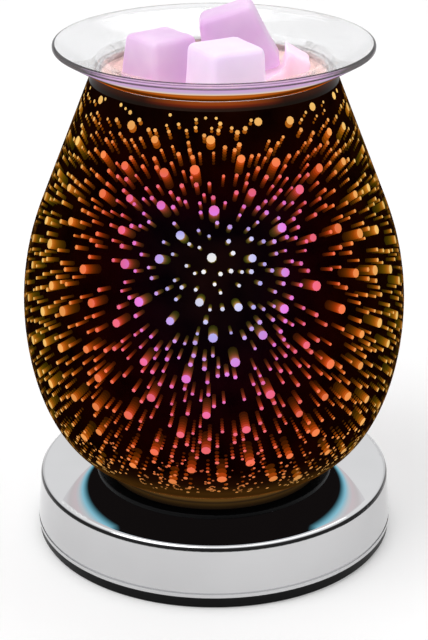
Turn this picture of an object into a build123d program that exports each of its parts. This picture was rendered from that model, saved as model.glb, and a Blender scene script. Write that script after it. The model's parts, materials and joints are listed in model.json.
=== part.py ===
from build123d import *
from math import acos, atan2, cos, degrees, hypot, radians, sin, tan
import os

# Wax melt warmer. Lengths in millimetres, angles in degrees.
# The origin is the centre of the foot on the table, +Z is up and -Y is the front.

# Base drum
BASE_RADIUS = 60.0
BASE_TAPER = 1.5
BASE_HEIGHT = 21.8
BASE_SHEET = 1.2
TOP_EDGE_ROUND = 2.0
BEAD_HEIGHT = 1.1
GROOVE_HEIGHT = 0.7
GROOVE_DEPTH = 0.5

# Bottom cover and foot
FOOT_RING_HEIGHT = 1.4
FOOT_RING_WIDTH = 9.0
FOOT_RING_INSET = 1.0
FOOT_RING_CHAMFER = 0.4
COVER_EDGE = 2.8
COVER_INSET = 0.4
COVER_FLOOR = 1.8
COVER_LIP_HEIGHT = 1.6
COVER_LIP_WALL = 1.6
COVER_CLEARANCE = 0.3
VENT_COUNT = 6
VENT_CIRCLE = 12.0
VENT_LENGTH = 7.0
VENT_WIDTH = 2.0
POST_COUNT = 3
POST_RADIUS = 3.5
POST_INSET = 11.3
POST_START_ANGLE = 180.0

# Fasteners
SCREW_RADIUS = 1.5
SCREW_HEAD_RADIUS = 2.7
SCREW_HEAD_HEIGHT = 1.1
SCREW_SLOT_WIDTH = 0.7
SCREW_SLOT_DEPTH = 0.5
SCREW_TAIL = 0.6
SCREW_CLEARANCE = 0.2
THREAD_CLEARANCE = 0.05
NUT_RADIUS = 3.1
NUT_HEIGHT = 2.2

# Cord inlet
GROMMET_BORE_RADIUS = 3.1
GROMMET_NECK_RADIUS = 4.6
GROMMET_FLANGE_RADIUS = 5.8
GROMMET_FLANGE = 1.4

# Jar seat
GASKET_HEIGHT = 0.8
GASKET_LIP = 3.4
GASKET_CLEARANCE = 0.3
GASKET_ROUND = 0.4
COLLAR_HEIGHT = 6.0
COLLAR_SHEET = 1.0
COLLAR_CLEARANCE = 0.5
COLLAR_SCREW_COUNT = 3
COLLAR_EDGE = 1.2

# Coated glass jar
JAR_HEIGHT = 136.8
BELLY_RADIUS = 62.0
BELLY_RISE = 58.1
BELLY_WALL = 1.8
UPPER_ARC = 93.5
MOUTH_RADIUS = 37.8
MOUTH_WALL = 2.4
NECK_RADIUS = 36.3
NECK_HEIGHT = 5.9
NECK_WALL = 2.4
NECK_ROUND = 2.0
GLASS_ROUND = 0.6

# Wax dish
DISH_RADIUS = 50.1
DISH_RIM_RISE = 9.0
DISH_FLANGE_DROP = 5.4
DISH_GLASS = 2.6
DISH_RIM_GLASS = 1.9
DISH_RIM_ROUND = 0.8
DISH_CLEARANCE = 0.5
WELL_DEPTH = 9.4
WELL_DRAFT = 1.2
WELL_ROUND = 3.0
SEAT_WIDTH = 3.6

# Wax melts
WAX_CLEARANCE = 0.3
WAX_ROUND = 1.8
LEFT_WAX_BOTTOM = (20.0, 20.0)
LEFT_WAX_TOP = (16.8, 16.8)
LEFT_WAX_HEIGHT = 19.5
LEFT_WAX_PLACE = (-16.6, 1.0)
LEFT_WAX_ANGLE = 38.0
FRONT_WAX_BOTTOM = (20.4, 20.4)
FRONT_WAX_TOP = (18.6, 18.6)
FRONT_WAX_HEIGHT = 19.5
FRONT_WAX_PLACE = (3.6, -12.4)
FRONT_WAX_ANGLE = 28.0
BACK_WAX_BOTTOM = (25.0, 18.0)
BACK_WAX_TOP = (17.5, 15.0)
BACK_WAX_HEIGHT = 22.0
BACK_WAX_PLACE = (-2.0, 12.4)
BACK_WAX_TILT = 18.0
RIGHT_WAX_LEFT = 11.0
RIGHT_WAX_RIGHT = 27.5
RIGHT_WAX_CREST = 15.5
RIGHT_WAX_END = 10.5
RIGHT_WAX_WIDTH = 12.0
RIGHT_WAX_MIDDLE = 6.0
RIGHT_WAX_GAP = 0.3
RIGHT_WAX_ROUND = 1.2

# Lamp holder and bracket
HOLDER_RADIUS = 14.0
HOLDER_HEIGHT = 17.0
HOLDER_LIFT = 5.8
HOLDER_CHAMFER = 0.8
HOLDER_SCREW_PLACE = 9.5
HOLDER_SCREW_DEPTH = 5.0
HOLDER_WIRE_PLACE = 4.0
HOLDER_WIRE_RISE = 4.2
HOLDER_WIRE_DEPTH = 3.0
SLOT_ROOF = 4.0
OPENING_CLEARANCE = 2.0
BRACKET_GAP = 1.0
BRACKET_SHEET = 1.0
BRACKET_WIDTH = 14.0
EAR_CLEARANCE = 1.8
EAR_EDGE = 4.0

# Twist-lock reflector lamp
PIN_SPACING = 10.0
PIN_RADIUS = 1.6
PIN_HEAD_RADIUS = 2.4
PIN_HEAD_HEIGHT = 2.0
PIN_LENGTH = 7.0
PIN_CLEARANCE = 0.35
PIN_FLOOR_GAP = 0.6
TWIST_ANGLE = 30.0
LAMP_GAP = 0.4
CAP_RADIUS = 12.8
CAP_HEIGHT = 14.0
CAP_CHAMFER = 1.2
REFLECTOR_RADIUS = 25.0
REFLECTOR_HEIGHT = 33.0
REFLECTOR_WALL = 1.2
REFLECTOR_HOLE = 6.4
REFLECTOR_SAG = 3.2
LENS_HEIGHT = 1.6
LENS_ROUND = 0.5
CAPSULE_RADIUS = 4.8
CAPSULE_HEIGHT = 20.0

# Touch dimmer
DIMMER_LENGTH = 36.0
DIMMER_WIDTH = 18.0
DIMMER_HEIGHT = 10.4
DIMMER_WALL = 1.4
DIMMER_GAP = 11.0
DIMMER_SHIFT = -4.0
DIMMER_ROUND = 1.0
PAD_HEIGHT = 1.0
PAD_MARGIN = 2.0
BOARD_HEIGHT = 1.6
BOARD_CLEARANCE = 0.3
LEDGE_SIZE = 3.0
LEDGE_HEIGHT = 1.0
TRIAC_SIZE = (9.0, 7.0, 4.4)
TRIAC_SHIFT = 8.0
CAPACITOR_SIZE = (10.0, 5.0, 5.0)
CAPACITOR_SHIFT = -7.0

# Terminal block and wires
BLOCK_SIZE = (18.0, 18.0, 10.4)
BLOCK_SHIFT = -14.0
BLOCK_GAP = 10.0
POLE_OFFSET = 4.5
POLE_RISE = 4.0
CLAMP_OFFSET = 5.0
WIRE_RADIUS = 0.9
WIRE_BEND = 3.0
WIRE_CLEARANCE = 0.2
WIRE_INSERT = 3.0
LIVE_INSET = 4.0
SENSE_INSET = 11.0
SWITCHED_INSET = 6.0
LUG_SHEET = 0.8
LUG_RADIUS = 3.2
LUG_BARREL_RADIUS = 1.4
LUG_BARREL_LENGTH = 5.0
LUG_BARREL_START = 4.6
LUG_BARREL_DROP = 0.9

# Levels and radii that follow from the sizes above
base_top_radius = BASE_RADIUS - BASE_TAPER
hem_level = FOOT_RING_HEIGHT + COVER_EDGE
floor_level = FOOT_RING_HEIGHT + COVER_FLOOR
top_underside = BASE_HEIGHT - BASE_SHEET
inlet_level = (hem_level + COVER_LIP_HEIGHT + BASE_HEIGHT - TOP_EDGE_ROUND) / 2
lamp_opening_radius = HOLDER_RADIUS + OPENING_CLEARANCE
screw_hole_radius = SCREW_RADIUS + SCREW_CLEARANCE
thread_hole_radius = SCREW_RADIUS + THREAD_CLEARANCE

holder_foot = floor_level + HOLDER_LIFT
holder_top = holder_foot + HOLDER_HEIGHT
leg_inner = HOLDER_RADIUS + BRACKET_GAP
leg_outer = leg_inner + BRACKET_SHEET
ear_hole = leg_outer + SCREW_HEAD_RADIUS + EAR_CLEARANCE
ear_end = ear_hole + EAR_EDGE
ear_underside = top_underside - BRACKET_SHEET

neck_inner = NECK_RADIUS - NECK_WALL
collar_radius = neck_inner - COLLAR_CLEARANCE
collar_inner = collar_radius - COLLAR_SHEET
collar_flange_inner = ear_hole + SCREW_HEAD_RADIUS + COLLAR_EDGE
collar_screw_circle = (collar_flange_inner + collar_inner) / 2
post_circle = base_top_radius - BASE_SHEET - POST_INSET

jar_foot = BASE_HEIGHT + GASKET_HEIGHT
belly_level = jar_foot + BELLY_RISE
neck_top = jar_foot + NECK_HEIGHT
mouth_level = jar_foot + JAR_HEIGHT

lamp_seat = holder_top + LAMP_GAP
cap_top = lamp_seat + CAP_HEIGHT
reflector_top = cap_top + REFLECTOR_HEIGHT
pin_foot = lamp_seat - PIN_LENGTH
chamber_floor = pin_foot - PIN_FLOOR_GAP
chamber_roof = holder_top - SLOT_ROOF
holder_wire_level = holder_foot + HOLDER_WIRE_RISE

dimmer_back = -(HOLDER_RADIUS + DIMMER_GAP)
dimmer_middle = dimmer_back - DIMMER_WIDTH / 2
dimmer_left = DIMMER_SHIFT - DIMMER_LENGTH / 2
dimmer_right = DIMMER_SHIFT + DIMMER_LENGTH / 2
case_foot = floor_level + PAD_HEIGHT
case_top = case_foot + DIMMER_HEIGHT
board_foot = case_foot + DIMMER_WALL + LEDGE_HEIGHT
board_top = board_foot + BOARD_HEIGHT
board_length = DIMMER_LENGTH - 2 * (DIMMER_WALL + BOARD_CLEARANCE)
board_width = DIMMER_WIDTH - 2 * (DIMMER_WALL + BOARD_CLEARANCE)
dimmer_wire_level = board_top + WIRE_RADIUS

block_front = HOLDER_RADIUS + BLOCK_GAP
block_middle = block_front + BLOCK_SIZE[1] / 2
block_top = floor_level + BLOCK_SIZE[2]
pole_level = floor_level + POLE_RISE
live_pole = BLOCK_SHIFT - POLE_OFFSET
neutral_pole = BLOCK_SHIFT + POLE_OFFSET

well_radius = MOUTH_RADIUS - MOUTH_WALL - DISH_CLEARANCE
well_floor = mouth_level - WELL_DEPTH
wax_floor = well_floor + WAX_CLEARANCE

collar_spots = [
    (collar_screw_circle * cos(radians(turn)), collar_screw_circle * sin(radians(turn)))
    for turn in [360.0 / COLLAR_SCREW_COUNT * step for step in range(COLLAR_SCREW_COUNT)]
]
post_spots = [
    (post_circle * cos(radians(turn)), post_circle * sin(radians(turn)))
    for turn in [POST_START_ANGLE + 360.0 / POST_COUNT * step for step in range(POST_COUNT)]
]
ear_spots = [(-ear_hole, 0.0), (ear_hole, 0.0)]
holder_screw_spots = [(-HOLDER_SCREW_PLACE, 0.0), (HOLDER_SCREW_PLACE, 0.0)]
clamp_spots = [
    (pole, block_middle + side * CLAMP_OFFSET) for pole in (live_pole, neutral_pole) for side in (-1, 1)
]

os.makedirs("parts", exist_ok=True)


def shell_radius(level):
    """Outer radius of the drum's wall at a level."""
    share = (level - hem_level) / (BASE_HEIGHT - hem_level)
    return BASE_RADIUS + share * (base_top_radius - BASE_RADIUS)


def slotted_screws(spots, head_seat, direction, length):
    """Screws with heads seated at a level and shanks running up (+1) or down (-1) from it."""
    head_crown = head_seat - direction * SCREW_HEAD_HEIGHT
    with BuildPart() as screws:
        with BuildSketch(Plane.XY.offset(head_seat)):
            with Locations(*spots):
                Circle(SCREW_HEAD_RADIUS)
        extrude(amount=-direction * SCREW_HEAD_HEIGHT)
        with BuildSketch(Plane.XY.offset(head_seat)):
            with Locations(*spots):
                Circle(SCREW_RADIUS)
        extrude(amount=direction * length)
        with BuildSketch(Plane.XY.offset(head_crown)):
            with Locations(*spots):
                Rectangle(2 * SCREW_HEAD_RADIUS, SCREW_SLOT_WIDTH)
        extrude(amount=direction * SCREW_SLOT_DEPTH, mode=Mode.SUBTRACT)
    return screws


def lead(points):
    """An insulated wire along straight runs joined by tangent arcs."""
    with BuildPart() as wire:
        with BuildLine():
            route = FilletPolyline(*points, radius=WIRE_BEND)
        with BuildSketch(Plane(origin=route @ 0, z_dir=route % 0)):
            Circle(WIRE_RADIUS)
        sweep()
    return wire


def wax_block(foot, bottom, top, height):
    """A tapered wax block with soft edges that stands on the plane foot."""
    with BuildPart() as block:
        with BuildSketch(foot):
            Rectangle(*bottom)
        with BuildSketch(foot.offset(height)):
            Rectangle(*top)
        loft()
        fillet(block.edges(), WAX_ROUND)
    return block


# Base drum: drawn sheet with a rounded top edge, a hem bead and a groove above it
groove_foot = hem_level + BEAD_HEIGHT
groove_radius = shell_radius(groove_foot) - GROOVE_DEPTH
inlet_wall = shell_radius(inlet_level)
inlet_plane = Plane(origin=(0, inlet_wall, inlet_level), x_dir=(1, 0, 0), z_dir=(0, 1, 0))
inlet_reach = BASE_SHEET + 2 * GROMMET_FLANGE

with BuildPart() as base_shell:
    with BuildSketch(Plane.XZ):
        with BuildLine():
            Polyline(
                (BASE_RADIUS, hem_level),
                (base_top_radius, BASE_HEIGHT),
                (lamp_opening_radius, BASE_HEIGHT),
                (lamp_opening_radius, top_underside),
                (base_top_radius - BASE_SHEET, top_underside),
                (BASE_RADIUS - BASE_SHEET, hem_level),
                close=True,
            )
        make_face()
    revolve(axis=Axis.Z)
    top_edges = base_shell.edges().filter_by_position(Axis.Z, BASE_HEIGHT, BASE_HEIGHT)
    fillet(top_edges.sort_by(SortBy.RADIUS)[-1], TOP_EDGE_ROUND)
    under_edges = base_shell.edges().filter_by_position(Axis.Z, top_underside, top_underside)
    fillet(under_edges.sort_by(SortBy.RADIUS)[-1], TOP_EDGE_ROUND - BASE_SHEET)
    with BuildSketch(Plane.XZ):
        with BuildLine():
            Polyline(
                (groove_radius, groove_foot),
                (BASE_RADIUS + GROOVE_DEPTH, groove_foot),
                (BASE_RADIUS + GROOVE_DEPTH, groove_foot + GROOVE_HEIGHT),
                (groove_radius, groove_foot + GROOVE_HEIGHT),
                close=True,
            )
        make_face()
    revolve(axis=Axis.Z, mode=Mode.SUBTRACT)
    with Locations(*ear_spots, *collar_spots):
        Hole(screw_hole_radius)
    with BuildSketch(inlet_plane):
        Circle(GROMMET_NECK_RADIUS)
    extrude(amount=inlet_reach, both=True, mode=Mode.SUBTRACT)
base_shell.part.label = "base_shell"
export_step(base_shell.part, "parts/base_shell.step")

# Bottom cover: a floor, a ledge for the hem and a lip inside the drum
cover_radius = BASE_RADIUS - COVER_INSET
lip_radius = shell_radius(hem_level + COVER_LIP_HEIGHT) - BASE_SHEET - COVER_CLEARANCE

with BuildPart() as bottom_cover:
    with BuildSketch(Plane.XZ):
        with BuildLine():
            Polyline(
                (0, FOOT_RING_HEIGHT),
                (cover_radius, FOOT_RING_HEIGHT),
                (cover_radius, hem_level),
                (lip_radius, hem_level),
                (lip_radius, hem_level + COVER_LIP_HEIGHT),
                (lip_radius - COVER_LIP_WALL, hem_level + COVER_LIP_HEIGHT),
                (lip_radius - COVER_LIP_WALL, floor_level),
                (0, floor_level),
                close=True,
            )
        make_face()
    revolve(axis=Axis.Z)
    with Locations(*post_spots):
        Hole(screw_hole_radius)
    with Locations((BLOCK_SHIFT, block_middle)):
        Hole(thread_hole_radius)
    with BuildSketch(Plane.XY.offset(FOOT_RING_HEIGHT)):
        with PolarLocations(VENT_CIRCLE, VENT_COUNT):
            SlotOverall(VENT_LENGTH, VENT_WIDTH)
    extrude(amount=COVER_FLOOR, mode=Mode.SUBTRACT)
bottom_cover.part.label = "bottom_cover"
export_step(bottom_cover.part, "parts/bottom_cover.step")

# Foot ring under the cover
foot_outer = BASE_RADIUS - FOOT_RING_INSET

with BuildPart() as foot_ring:
    with BuildSketch():
        Circle(foot_outer)
        Circle(foot_outer - FOOT_RING_WIDTH, mode=Mode.SUBTRACT)
    extrude(amount=FOOT_RING_HEIGHT)
    chamfer(foot_ring.edges().filter_by_position(Axis.Z, 0, 0), FOOT_RING_CHAMFER)
foot_ring.part.label = "foot_ring"
export_step(foot_ring.part, "parts/foot_ring.step")

# Posts between the drum's top and the cover
with BuildPart() as cover_posts:
    with BuildSketch(Plane.XY.offset(floor_level)):
        with Locations(*post_spots):
            Circle(POST_RADIUS)
            Circle(thread_hole_radius, mode=Mode.SUBTRACT)
    extrude(amount=top_underside - floor_level)
cover_posts.part.label = "cover_posts"
export_step(cover_posts.part, "parts/cover_posts.step")

cover_screw_length = COVER_FLOOR + (top_underside - floor_level) / 2
bottom_screws = slotted_screws(post_spots, FOOT_RING_HEIGHT, 1, cover_screw_length)
bottom_screws.part.label = "bottom_screws"
export_step(bottom_screws.part, "parts/bottom_screws.step")

# Cord grommet gripping the rear wall of the drum
with BuildPart() as cord_grommet:
    with BuildSketch(inlet_plane.offset(GROMMET_FLANGE)):
        Circle(GROMMET_FLANGE_RADIUS)
    extrude(amount=-inlet_reach)
    with BuildSketch(Plane.XZ):
        with BuildLine():
            Polyline(
                (BASE_RADIUS, hem_level),
                (base_top_radius, BASE_HEIGHT),
                (base_top_radius - BASE_SHEET, top_underside),
                (BASE_RADIUS - BASE_SHEET, hem_level),
                close=True,
            )
        make_face()
    revolve(axis=Axis.Z, mode=Mode.SUBTRACT)
    with BuildSketch(inlet_plane.offset(GROMMET_FLANGE / 2)):
        Circle(GROMMET_NECK_RADIUS)
    extrude(amount=-(BASE_SHEET + GROMMET_FLANGE))
    with BuildSketch(inlet_plane.offset(GROMMET_FLANGE)):
        Circle(GROMMET_BORE_RADIUS)
    extrude(amount=-inlet_reach, mode=Mode.SUBTRACT)
cord_grommet.part.label = "cord_grommet"
export_step(cord_grommet.part, "parts/cord_grommet.step")

# Jar seat: a soft ring on the drum's top
with BuildPart() as jar_gasket:
    with BuildSketch(Plane.XY.offset(BASE_HEIGHT)):
        Circle(NECK_RADIUS + GASKET_LIP)
        Circle(collar_radius + GASKET_CLEARANCE, mode=Mode.SUBTRACT)
    extrude(amount=GASKET_HEIGHT)
    gasket_edges = jar_gasket.edges().filter_by_position(Axis.Z, jar_foot, jar_foot)
    fillet(gasket_edges.sort_by(SortBy.RADIUS)[-1], GASKET_ROUND)
jar_gasket.part.label = "jar_gasket"
export_step(jar_gasket.part, "parts/jar_gasket.step")

# Collar that centres the jar's neck
with BuildPart() as jar_collar:
    with BuildSketch(Plane.XZ):
        with BuildLine():
            Polyline(
                (collar_flange_inner, BASE_HEIGHT),
                (collar_radius, BASE_HEIGHT),
                (collar_radius, BASE_HEIGHT + COLLAR_HEIGHT),
                (collar_inner, BASE_HEIGHT + COLLAR_HEIGHT),
                (collar_inner, BASE_HEIGHT + COLLAR_SHEET),
                (collar_flange_inner, BASE_HEIGHT + COLLAR_SHEET),
                close=True,
            )
        make_face()
    revolve(axis=Axis.Z)
    with Locations(*collar_spots):
        Hole(screw_hole_radius)
jar_collar.part.label = "jar_collar"
export_step(jar_collar.part, "parts/jar_collar.step")

collar_screw_length = COLLAR_SHEET + BASE_SHEET + NUT_HEIGHT + SCREW_TAIL
collar_screws = slotted_screws(collar_spots, BASE_HEIGHT + COLLAR_SHEET, -1, collar_screw_length)
collar_screws.part.label = "collar_screws"
export_step(collar_screws.part, "parts/collar_screws.step")

with BuildPart() as collar_nuts:
    with BuildSketch(Plane.XY.offset(top_underside)):
        with Locations(*collar_spots):
            RegularPolygon(NUT_RADIUS, 6)
            Circle(thread_hole_radius, mode=Mode.SUBTRACT)
    extrude(amount=-NUT_HEIGHT)
collar_nuts.part.label = "collar_nuts"
export_step(collar_nuts.part, "parts/collar_nuts.step")

# Lamp bracket: a hat-shaped strip hung from the drum's top
with BuildPart() as lamp_bracket:
    with BuildSketch(Plane.XZ):
        with BuildLine():
            Polyline(
                (0, holder_foot - BRACKET_SHEET),
                (leg_outer, holder_foot - BRACKET_SHEET),
                (leg_outer, ear_underside),
                (ear_end, ear_underside),
                (ear_end, top_underside),
                (leg_inner, top_underside),
                (leg_inner, holder_foot),
                (0, holder_foot),
            )
            mirror(about=Plane.YZ)
        make_face()
    extrude(amount=BRACKET_WIDTH / 2, both=True)
    with Locations(*ear_spots, *holder_screw_spots):
        Hole(screw_hole_radius)
lamp_bracket.part.label = "lamp_bracket"
export_step(lamp_bracket.part, "parts/lamp_bracket.step")

bracket_screw_length = BASE_SHEET + BRACKET_SHEET + LUG_SHEET + NUT_HEIGHT + SCREW_TAIL
bracket_screws = slotted_screws(ear_spots, BASE_HEIGHT, -1, bracket_screw_length)
bracket_screws.part.label = "bracket_screws"
export_step(bracket_screws.part, "parts/bracket_screws.step")

with BuildPart() as bracket_nuts:
    for spot, nut_seat in zip(ear_spots, (ear_underside - LUG_SHEET, ear_underside)):
        with BuildSketch(Plane.XY.offset(nut_seat)):
            with Locations(spot):
                RegularPolygon(NUT_RADIUS, 6)
                Circle(thread_hole_radius, mode=Mode.SUBTRACT)
        extrude(amount=-NUT_HEIGHT)
bracket_nuts.part.label = "bracket_nuts"
export_step(bracket_nuts.part, "parts/bracket_nuts.step")

# Lamp holder with twist-lock slots for the two lamp pins
pin_circle = PIN_SPACING / 2
entry_spots = [
    (side * pin_circle * cos(radians(TWIST_ANGLE)), side * pin_circle * sin(radians(TWIST_ANGLE)))
    for side in (-1, 1)
]
pin_spots = [(-pin_circle, 0.0), (pin_circle, 0.0)]
slot_half_width = PIN_RADIUS + PIN_CLEARANCE
head_half_width = PIN_HEAD_RADIUS + PIN_CLEARANCE
wire_hole_radius = WIRE_RADIUS + WIRE_CLEARANCE
wire_sides = [(HOLDER_WIRE_PLACE, 1), (-HOLDER_WIRE_PLACE, -1)]

with BuildPart() as lamp_holder:
    with BuildSketch(Plane.XY.offset(holder_foot)):
        Circle(HOLDER_RADIUS)
    extrude(amount=HOLDER_HEIGHT)
    chamfer(lamp_holder.edges().filter_by_position(Axis.Z, holder_top, holder_top), HOLDER_CHAMFER)
    for half_width, slot_foot, slot_top in (
        (slot_half_width, chamber_roof, holder_top),
        (head_half_width, chamber_floor, chamber_roof),
    ):
        slot_height = slot_top - slot_foot
        with BuildSketch(Plane.XZ):
            with Locations(*[(x, slot_foot + slot_height / 2) for x in (-pin_circle, pin_circle)]):
                Rectangle(2 * half_width, slot_height)
        revolve(axis=Axis.Z, revolution_arc=TWIST_ANGLE, mode=Mode.SUBTRACT)
        with BuildSketch(Plane.XY.offset(slot_foot)):
            with Locations(*pin_spots):
                Circle(half_width)
            with Locations(*entry_spots):
                Circle(head_half_width)
        extrude(amount=slot_height, mode=Mode.SUBTRACT)
    with BuildSketch(Plane.XY.offset(holder_foot)):
        with Locations(*holder_screw_spots):
            Circle(thread_hole_radius)
    extrude(amount=HOLDER_SCREW_DEPTH, mode=Mode.SUBTRACT)
    for wire_place, side in wire_sides:
        wire_mouth = (wire_place, side * HOLDER_RADIUS, holder_wire_level)
        with BuildSketch(Plane(origin=wire_mouth, z_dir=(0, side, 0))):
            Circle(wire_hole_radius)
        extrude(amount=-HOLDER_WIRE_DEPTH, mode=Mode.SUBTRACT)
lamp_holder.part.label = "lamp_holder"
export_step(lamp_holder.part, "parts/lamp_holder.step")

holder_screw_length = BRACKET_SHEET + HOLDER_SCREW_DEPTH - SCREW_CLEARANCE
holder_screws = slotted_screws(holder_screw_spots, holder_foot - BRACKET_SHEET, 1, holder_screw_length)
holder_screws.part.label = "holder_screws"
export_step(holder_screws.part, "parts/holder_screws.step")

# Lamp: ceramic cap, pins, glass reflector, front lens and inner capsule
with BuildPart() as lamp_cap:
    with BuildSketch(Plane.XY.offset(lamp_seat)):
        Circle(CAP_RADIUS)
    extrude(amount=CAP_HEIGHT)
    chamfer(lamp_cap.edges().filter_by_position(Axis.Z, lamp_seat, lamp_seat), CAP_CHAMFER)
lamp_cap.part.label = "lamp_cap"
export_step(lamp_cap.part, "parts/lamp_cap.step")

with BuildPart() as lamp_pins:
    with BuildSketch(Plane.XY.offset(pin_foot)):
        with Locations(*pin_spots):
            Circle(PIN_HEAD_RADIUS)
    extrude(amount=PIN_HEAD_HEIGHT)
    with BuildSketch(Plane.XY.offset(pin_foot)):
        with Locations(*pin_spots):
            Circle(PIN_RADIUS)
    extrude(amount=PIN_LENGTH)
lamp_pins.part.label = "lamp_pins"
export_step(lamp_pins.part, "parts/lamp_pins.step")

with BuildPart() as lamp_reflector:
    with BuildSketch(Plane.XZ):
        with BuildLine():
            outer_curve = SagittaArc((CAP_RADIUS, cap_top), (REFLECTOR_RADIUS, reflector_top), REFLECTOR_SAG)
            rim_line = Line(outer_curve @ 1, (REFLECTOR_RADIUS - REFLECTOR_WALL, reflector_top))
            inner_foot = (CAP_RADIUS - REFLECTOR_WALL, cap_top + REFLECTOR_WALL)
            inner_curve = SagittaArc(inner_foot, rim_line @ 1, REFLECTOR_SAG)
            Polyline(
                inner_foot,
                (REFLECTOR_HOLE, cap_top + REFLECTOR_WALL),
                (REFLECTOR_HOLE, cap_top),
                outer_curve @ 0,
            )
        make_face()
    revolve(axis=Axis.Z)
lamp_reflector.part.label = "lamp_reflector"
export_step(lamp_reflector.part, "parts/lamp_reflector.step")

with BuildPart() as lamp_lens:
    with BuildSketch(Plane.XY.offset(reflector_top)):
        Circle(REFLECTOR_RADIUS)
    extrude(amount=LENS_HEIGHT)
    lens_top = reflector_top + LENS_HEIGHT
    fillet(lamp_lens.edges().filter_by_position(Axis.Z, lens_top, lens_top), LENS_ROUND)
lamp_lens.part.label = "lamp_lens"
export_step(lamp_lens.part, "parts/lamp_lens.step")

with BuildPart() as lamp_capsule:
    with BuildSketch(Plane.XY.offset(cap_top)):
        Circle(CAPSULE_RADIUS)
    extrude(amount=CAPSULE_HEIGHT)
    capsule_top = cap_top + CAPSULE_HEIGHT
    fillet(lamp_capsule.edges().filter_by_position(Axis.Z, capsule_top, capsule_top), CAPSULE_RADIUS * 0.9)
lamp_capsule.part.label = "lamp_capsule"
export_step(lamp_capsule.part, "parts/lamp_capsule.step")


def jar_side(belly_radius, arc_radius, mouth_radius):
    """Tangent point on the upper arc of the line that runs to the mouth, and the arc's centre radius."""
    centre = belly_radius - arc_radius
    reach = hypot(mouth_radius - centre, mouth_level - belly_level)
    climb = atan2(mouth_level - belly_level, mouth_radius - centre)
    turn = climb - acos(arc_radius / reach)
    return centre, degrees(turn)


# Glass jar: neck, bowl-shaped belly and a cone up to the mouth
jar_walls = (
    (BELLY_RADIUS, UPPER_ARC, MOUTH_RADIUS, NECK_RADIUS, neck_top),
    (
        BELLY_RADIUS - BELLY_WALL,
        UPPER_ARC - BELLY_WALL,
        MOUTH_RADIUS - MOUTH_WALL,
        neck_inner,
        neck_top + BELLY_WALL,
    ),
)

with BuildPart() as glass_jar:
    for (belly, arc, mouth, neck, shoulder), wall_mode in zip(jar_walls, (Mode.ADD, Mode.SUBTRACT)):
        arc_centre, arc_turn = jar_side(belly, arc, mouth)
        with BuildSketch(Plane.XZ):
            with BuildLine():
                Line((0, jar_foot), (neck, jar_foot))
                Line((neck, jar_foot), (neck, shoulder))
                bowl_height = belly_level - shoulder
                EllipticalCenterArc((neck, belly_level), belly - neck, bowl_height, 270, arc_size=90)
                side = CenterArc((arc_centre, belly_level), arc, 0, arc_turn)
                Line(side @ 1, (mouth, mouth_level))
                Line((mouth, mouth_level), (0, mouth_level))
                Line((0, mouth_level), (0, jar_foot))
            make_face()
        revolve(axis=Axis.Z, mode=wall_mode)
    shoulder_edges = glass_jar.edges().filter_by_position(Axis.Z, neck_top, neck_top)
    fillet(shoulder_edges.sort_by(SortBy.RADIUS)[0], NECK_ROUND)
    fillet(glass_jar.edges().filter_by_position(Axis.Z, mouth_level, mouth_level), GLASS_ROUND)
    fillet(glass_jar.edges().filter_by_position(Axis.Z, jar_foot, jar_foot), GLASS_ROUND)
glass_jar.part.label = "glass_jar"
export_step(glass_jar.part, "parts/glass_jar.step")

# Wax dish: a flat-bottomed well in the jar's mouth and a flared rim above it
rim_level = mouth_level + DISH_RIM_RISE
well_edge_level = rim_level - DISH_FLANGE_DROP
well_inner = well_radius - DISH_GLASS
well_foot = well_floor - DISH_GLASS
seat_radius = well_radius + SEAT_WIDTH

with BuildPart() as wax_dish:
    with BuildSketch(Plane.XZ):
        with BuildLine():
            Polyline(
                (0, well_foot),
                (well_radius - WELL_DRAFT, well_foot),
                (well_radius, mouth_level),
                (seat_radius, mouth_level),
                (DISH_RADIUS, rim_level - DISH_RIM_GLASS),
                (DISH_RADIUS, rim_level),
                (well_inner, well_edge_level),
                (well_inner - WELL_DRAFT, well_floor),
                (0, well_floor),
                close=True,
            )
        make_face()
    revolve(axis=Axis.Z)
    fillet(wax_dish.edges().filter_by_position(Axis.Z, well_edge_level, well_edge_level), WELL_ROUND)
    fillet(wax_dish.edges().filter_by_position(Axis.Z, well_floor, well_floor), WELL_ROUND)
    fillet(wax_dish.edges().filter_by_position(Axis.Z, well_foot, well_foot), WELL_ROUND)
    rim_edges = wax_dish.edges().filter_by_position(Axis.Z, rim_level - DISH_RIM_GLASS, rim_level)
    fillet(rim_edges, DISH_RIM_ROUND)
wax_dish.part.label = "wax_dish"
export_step(wax_dish.part, "parts/wax_dish.step")

# Wax melts: two standing blocks, one tilted block and the lump that it leans on
left_foot = Plane(origin=(*LEFT_WAX_PLACE, wax_floor)).rotated((0, 0, LEFT_WAX_ANGLE))
wax_melt_left = wax_block(left_foot, LEFT_WAX_BOTTOM, LEFT_WAX_TOP, LEFT_WAX_HEIGHT)
wax_melt_left.part.label = "wax_melt_left"
export_step(wax_melt_left.part, "parts/wax_melt_left.step")

front_foot = Plane(origin=(*FRONT_WAX_PLACE, wax_floor)).rotated((0, 0, FRONT_WAX_ANGLE))
wax_melt_front = wax_block(front_foot, FRONT_WAX_BOTTOM, FRONT_WAX_TOP, FRONT_WAX_HEIGHT)
wax_melt_front.part.label = "wax_melt_front"
export_step(wax_melt_front.part, "parts/wax_melt_front.step")

tilt = radians(BACK_WAX_TILT)
half_back = BACK_WAX_BOTTOM[0] / 2
back_centre = (
    BACK_WAX_PLACE[0] + half_back * cos(tilt),
    BACK_WAX_PLACE[1],
    wax_floor + half_back * sin(tilt),
)
back_foot = Plane(origin=back_centre, x_dir=(cos(tilt), 0, sin(tilt)), z_dir=(-sin(tilt), 0, cos(tilt)))
wax_melt_back = wax_block(back_foot, BACK_WAX_BOTTOM, BACK_WAX_TOP, BACK_WAX_HEIGHT)
wax_melt_back.part.label = "wax_melt_back"
export_step(wax_melt_back.part, "parts/wax_melt_back.step")

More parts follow.
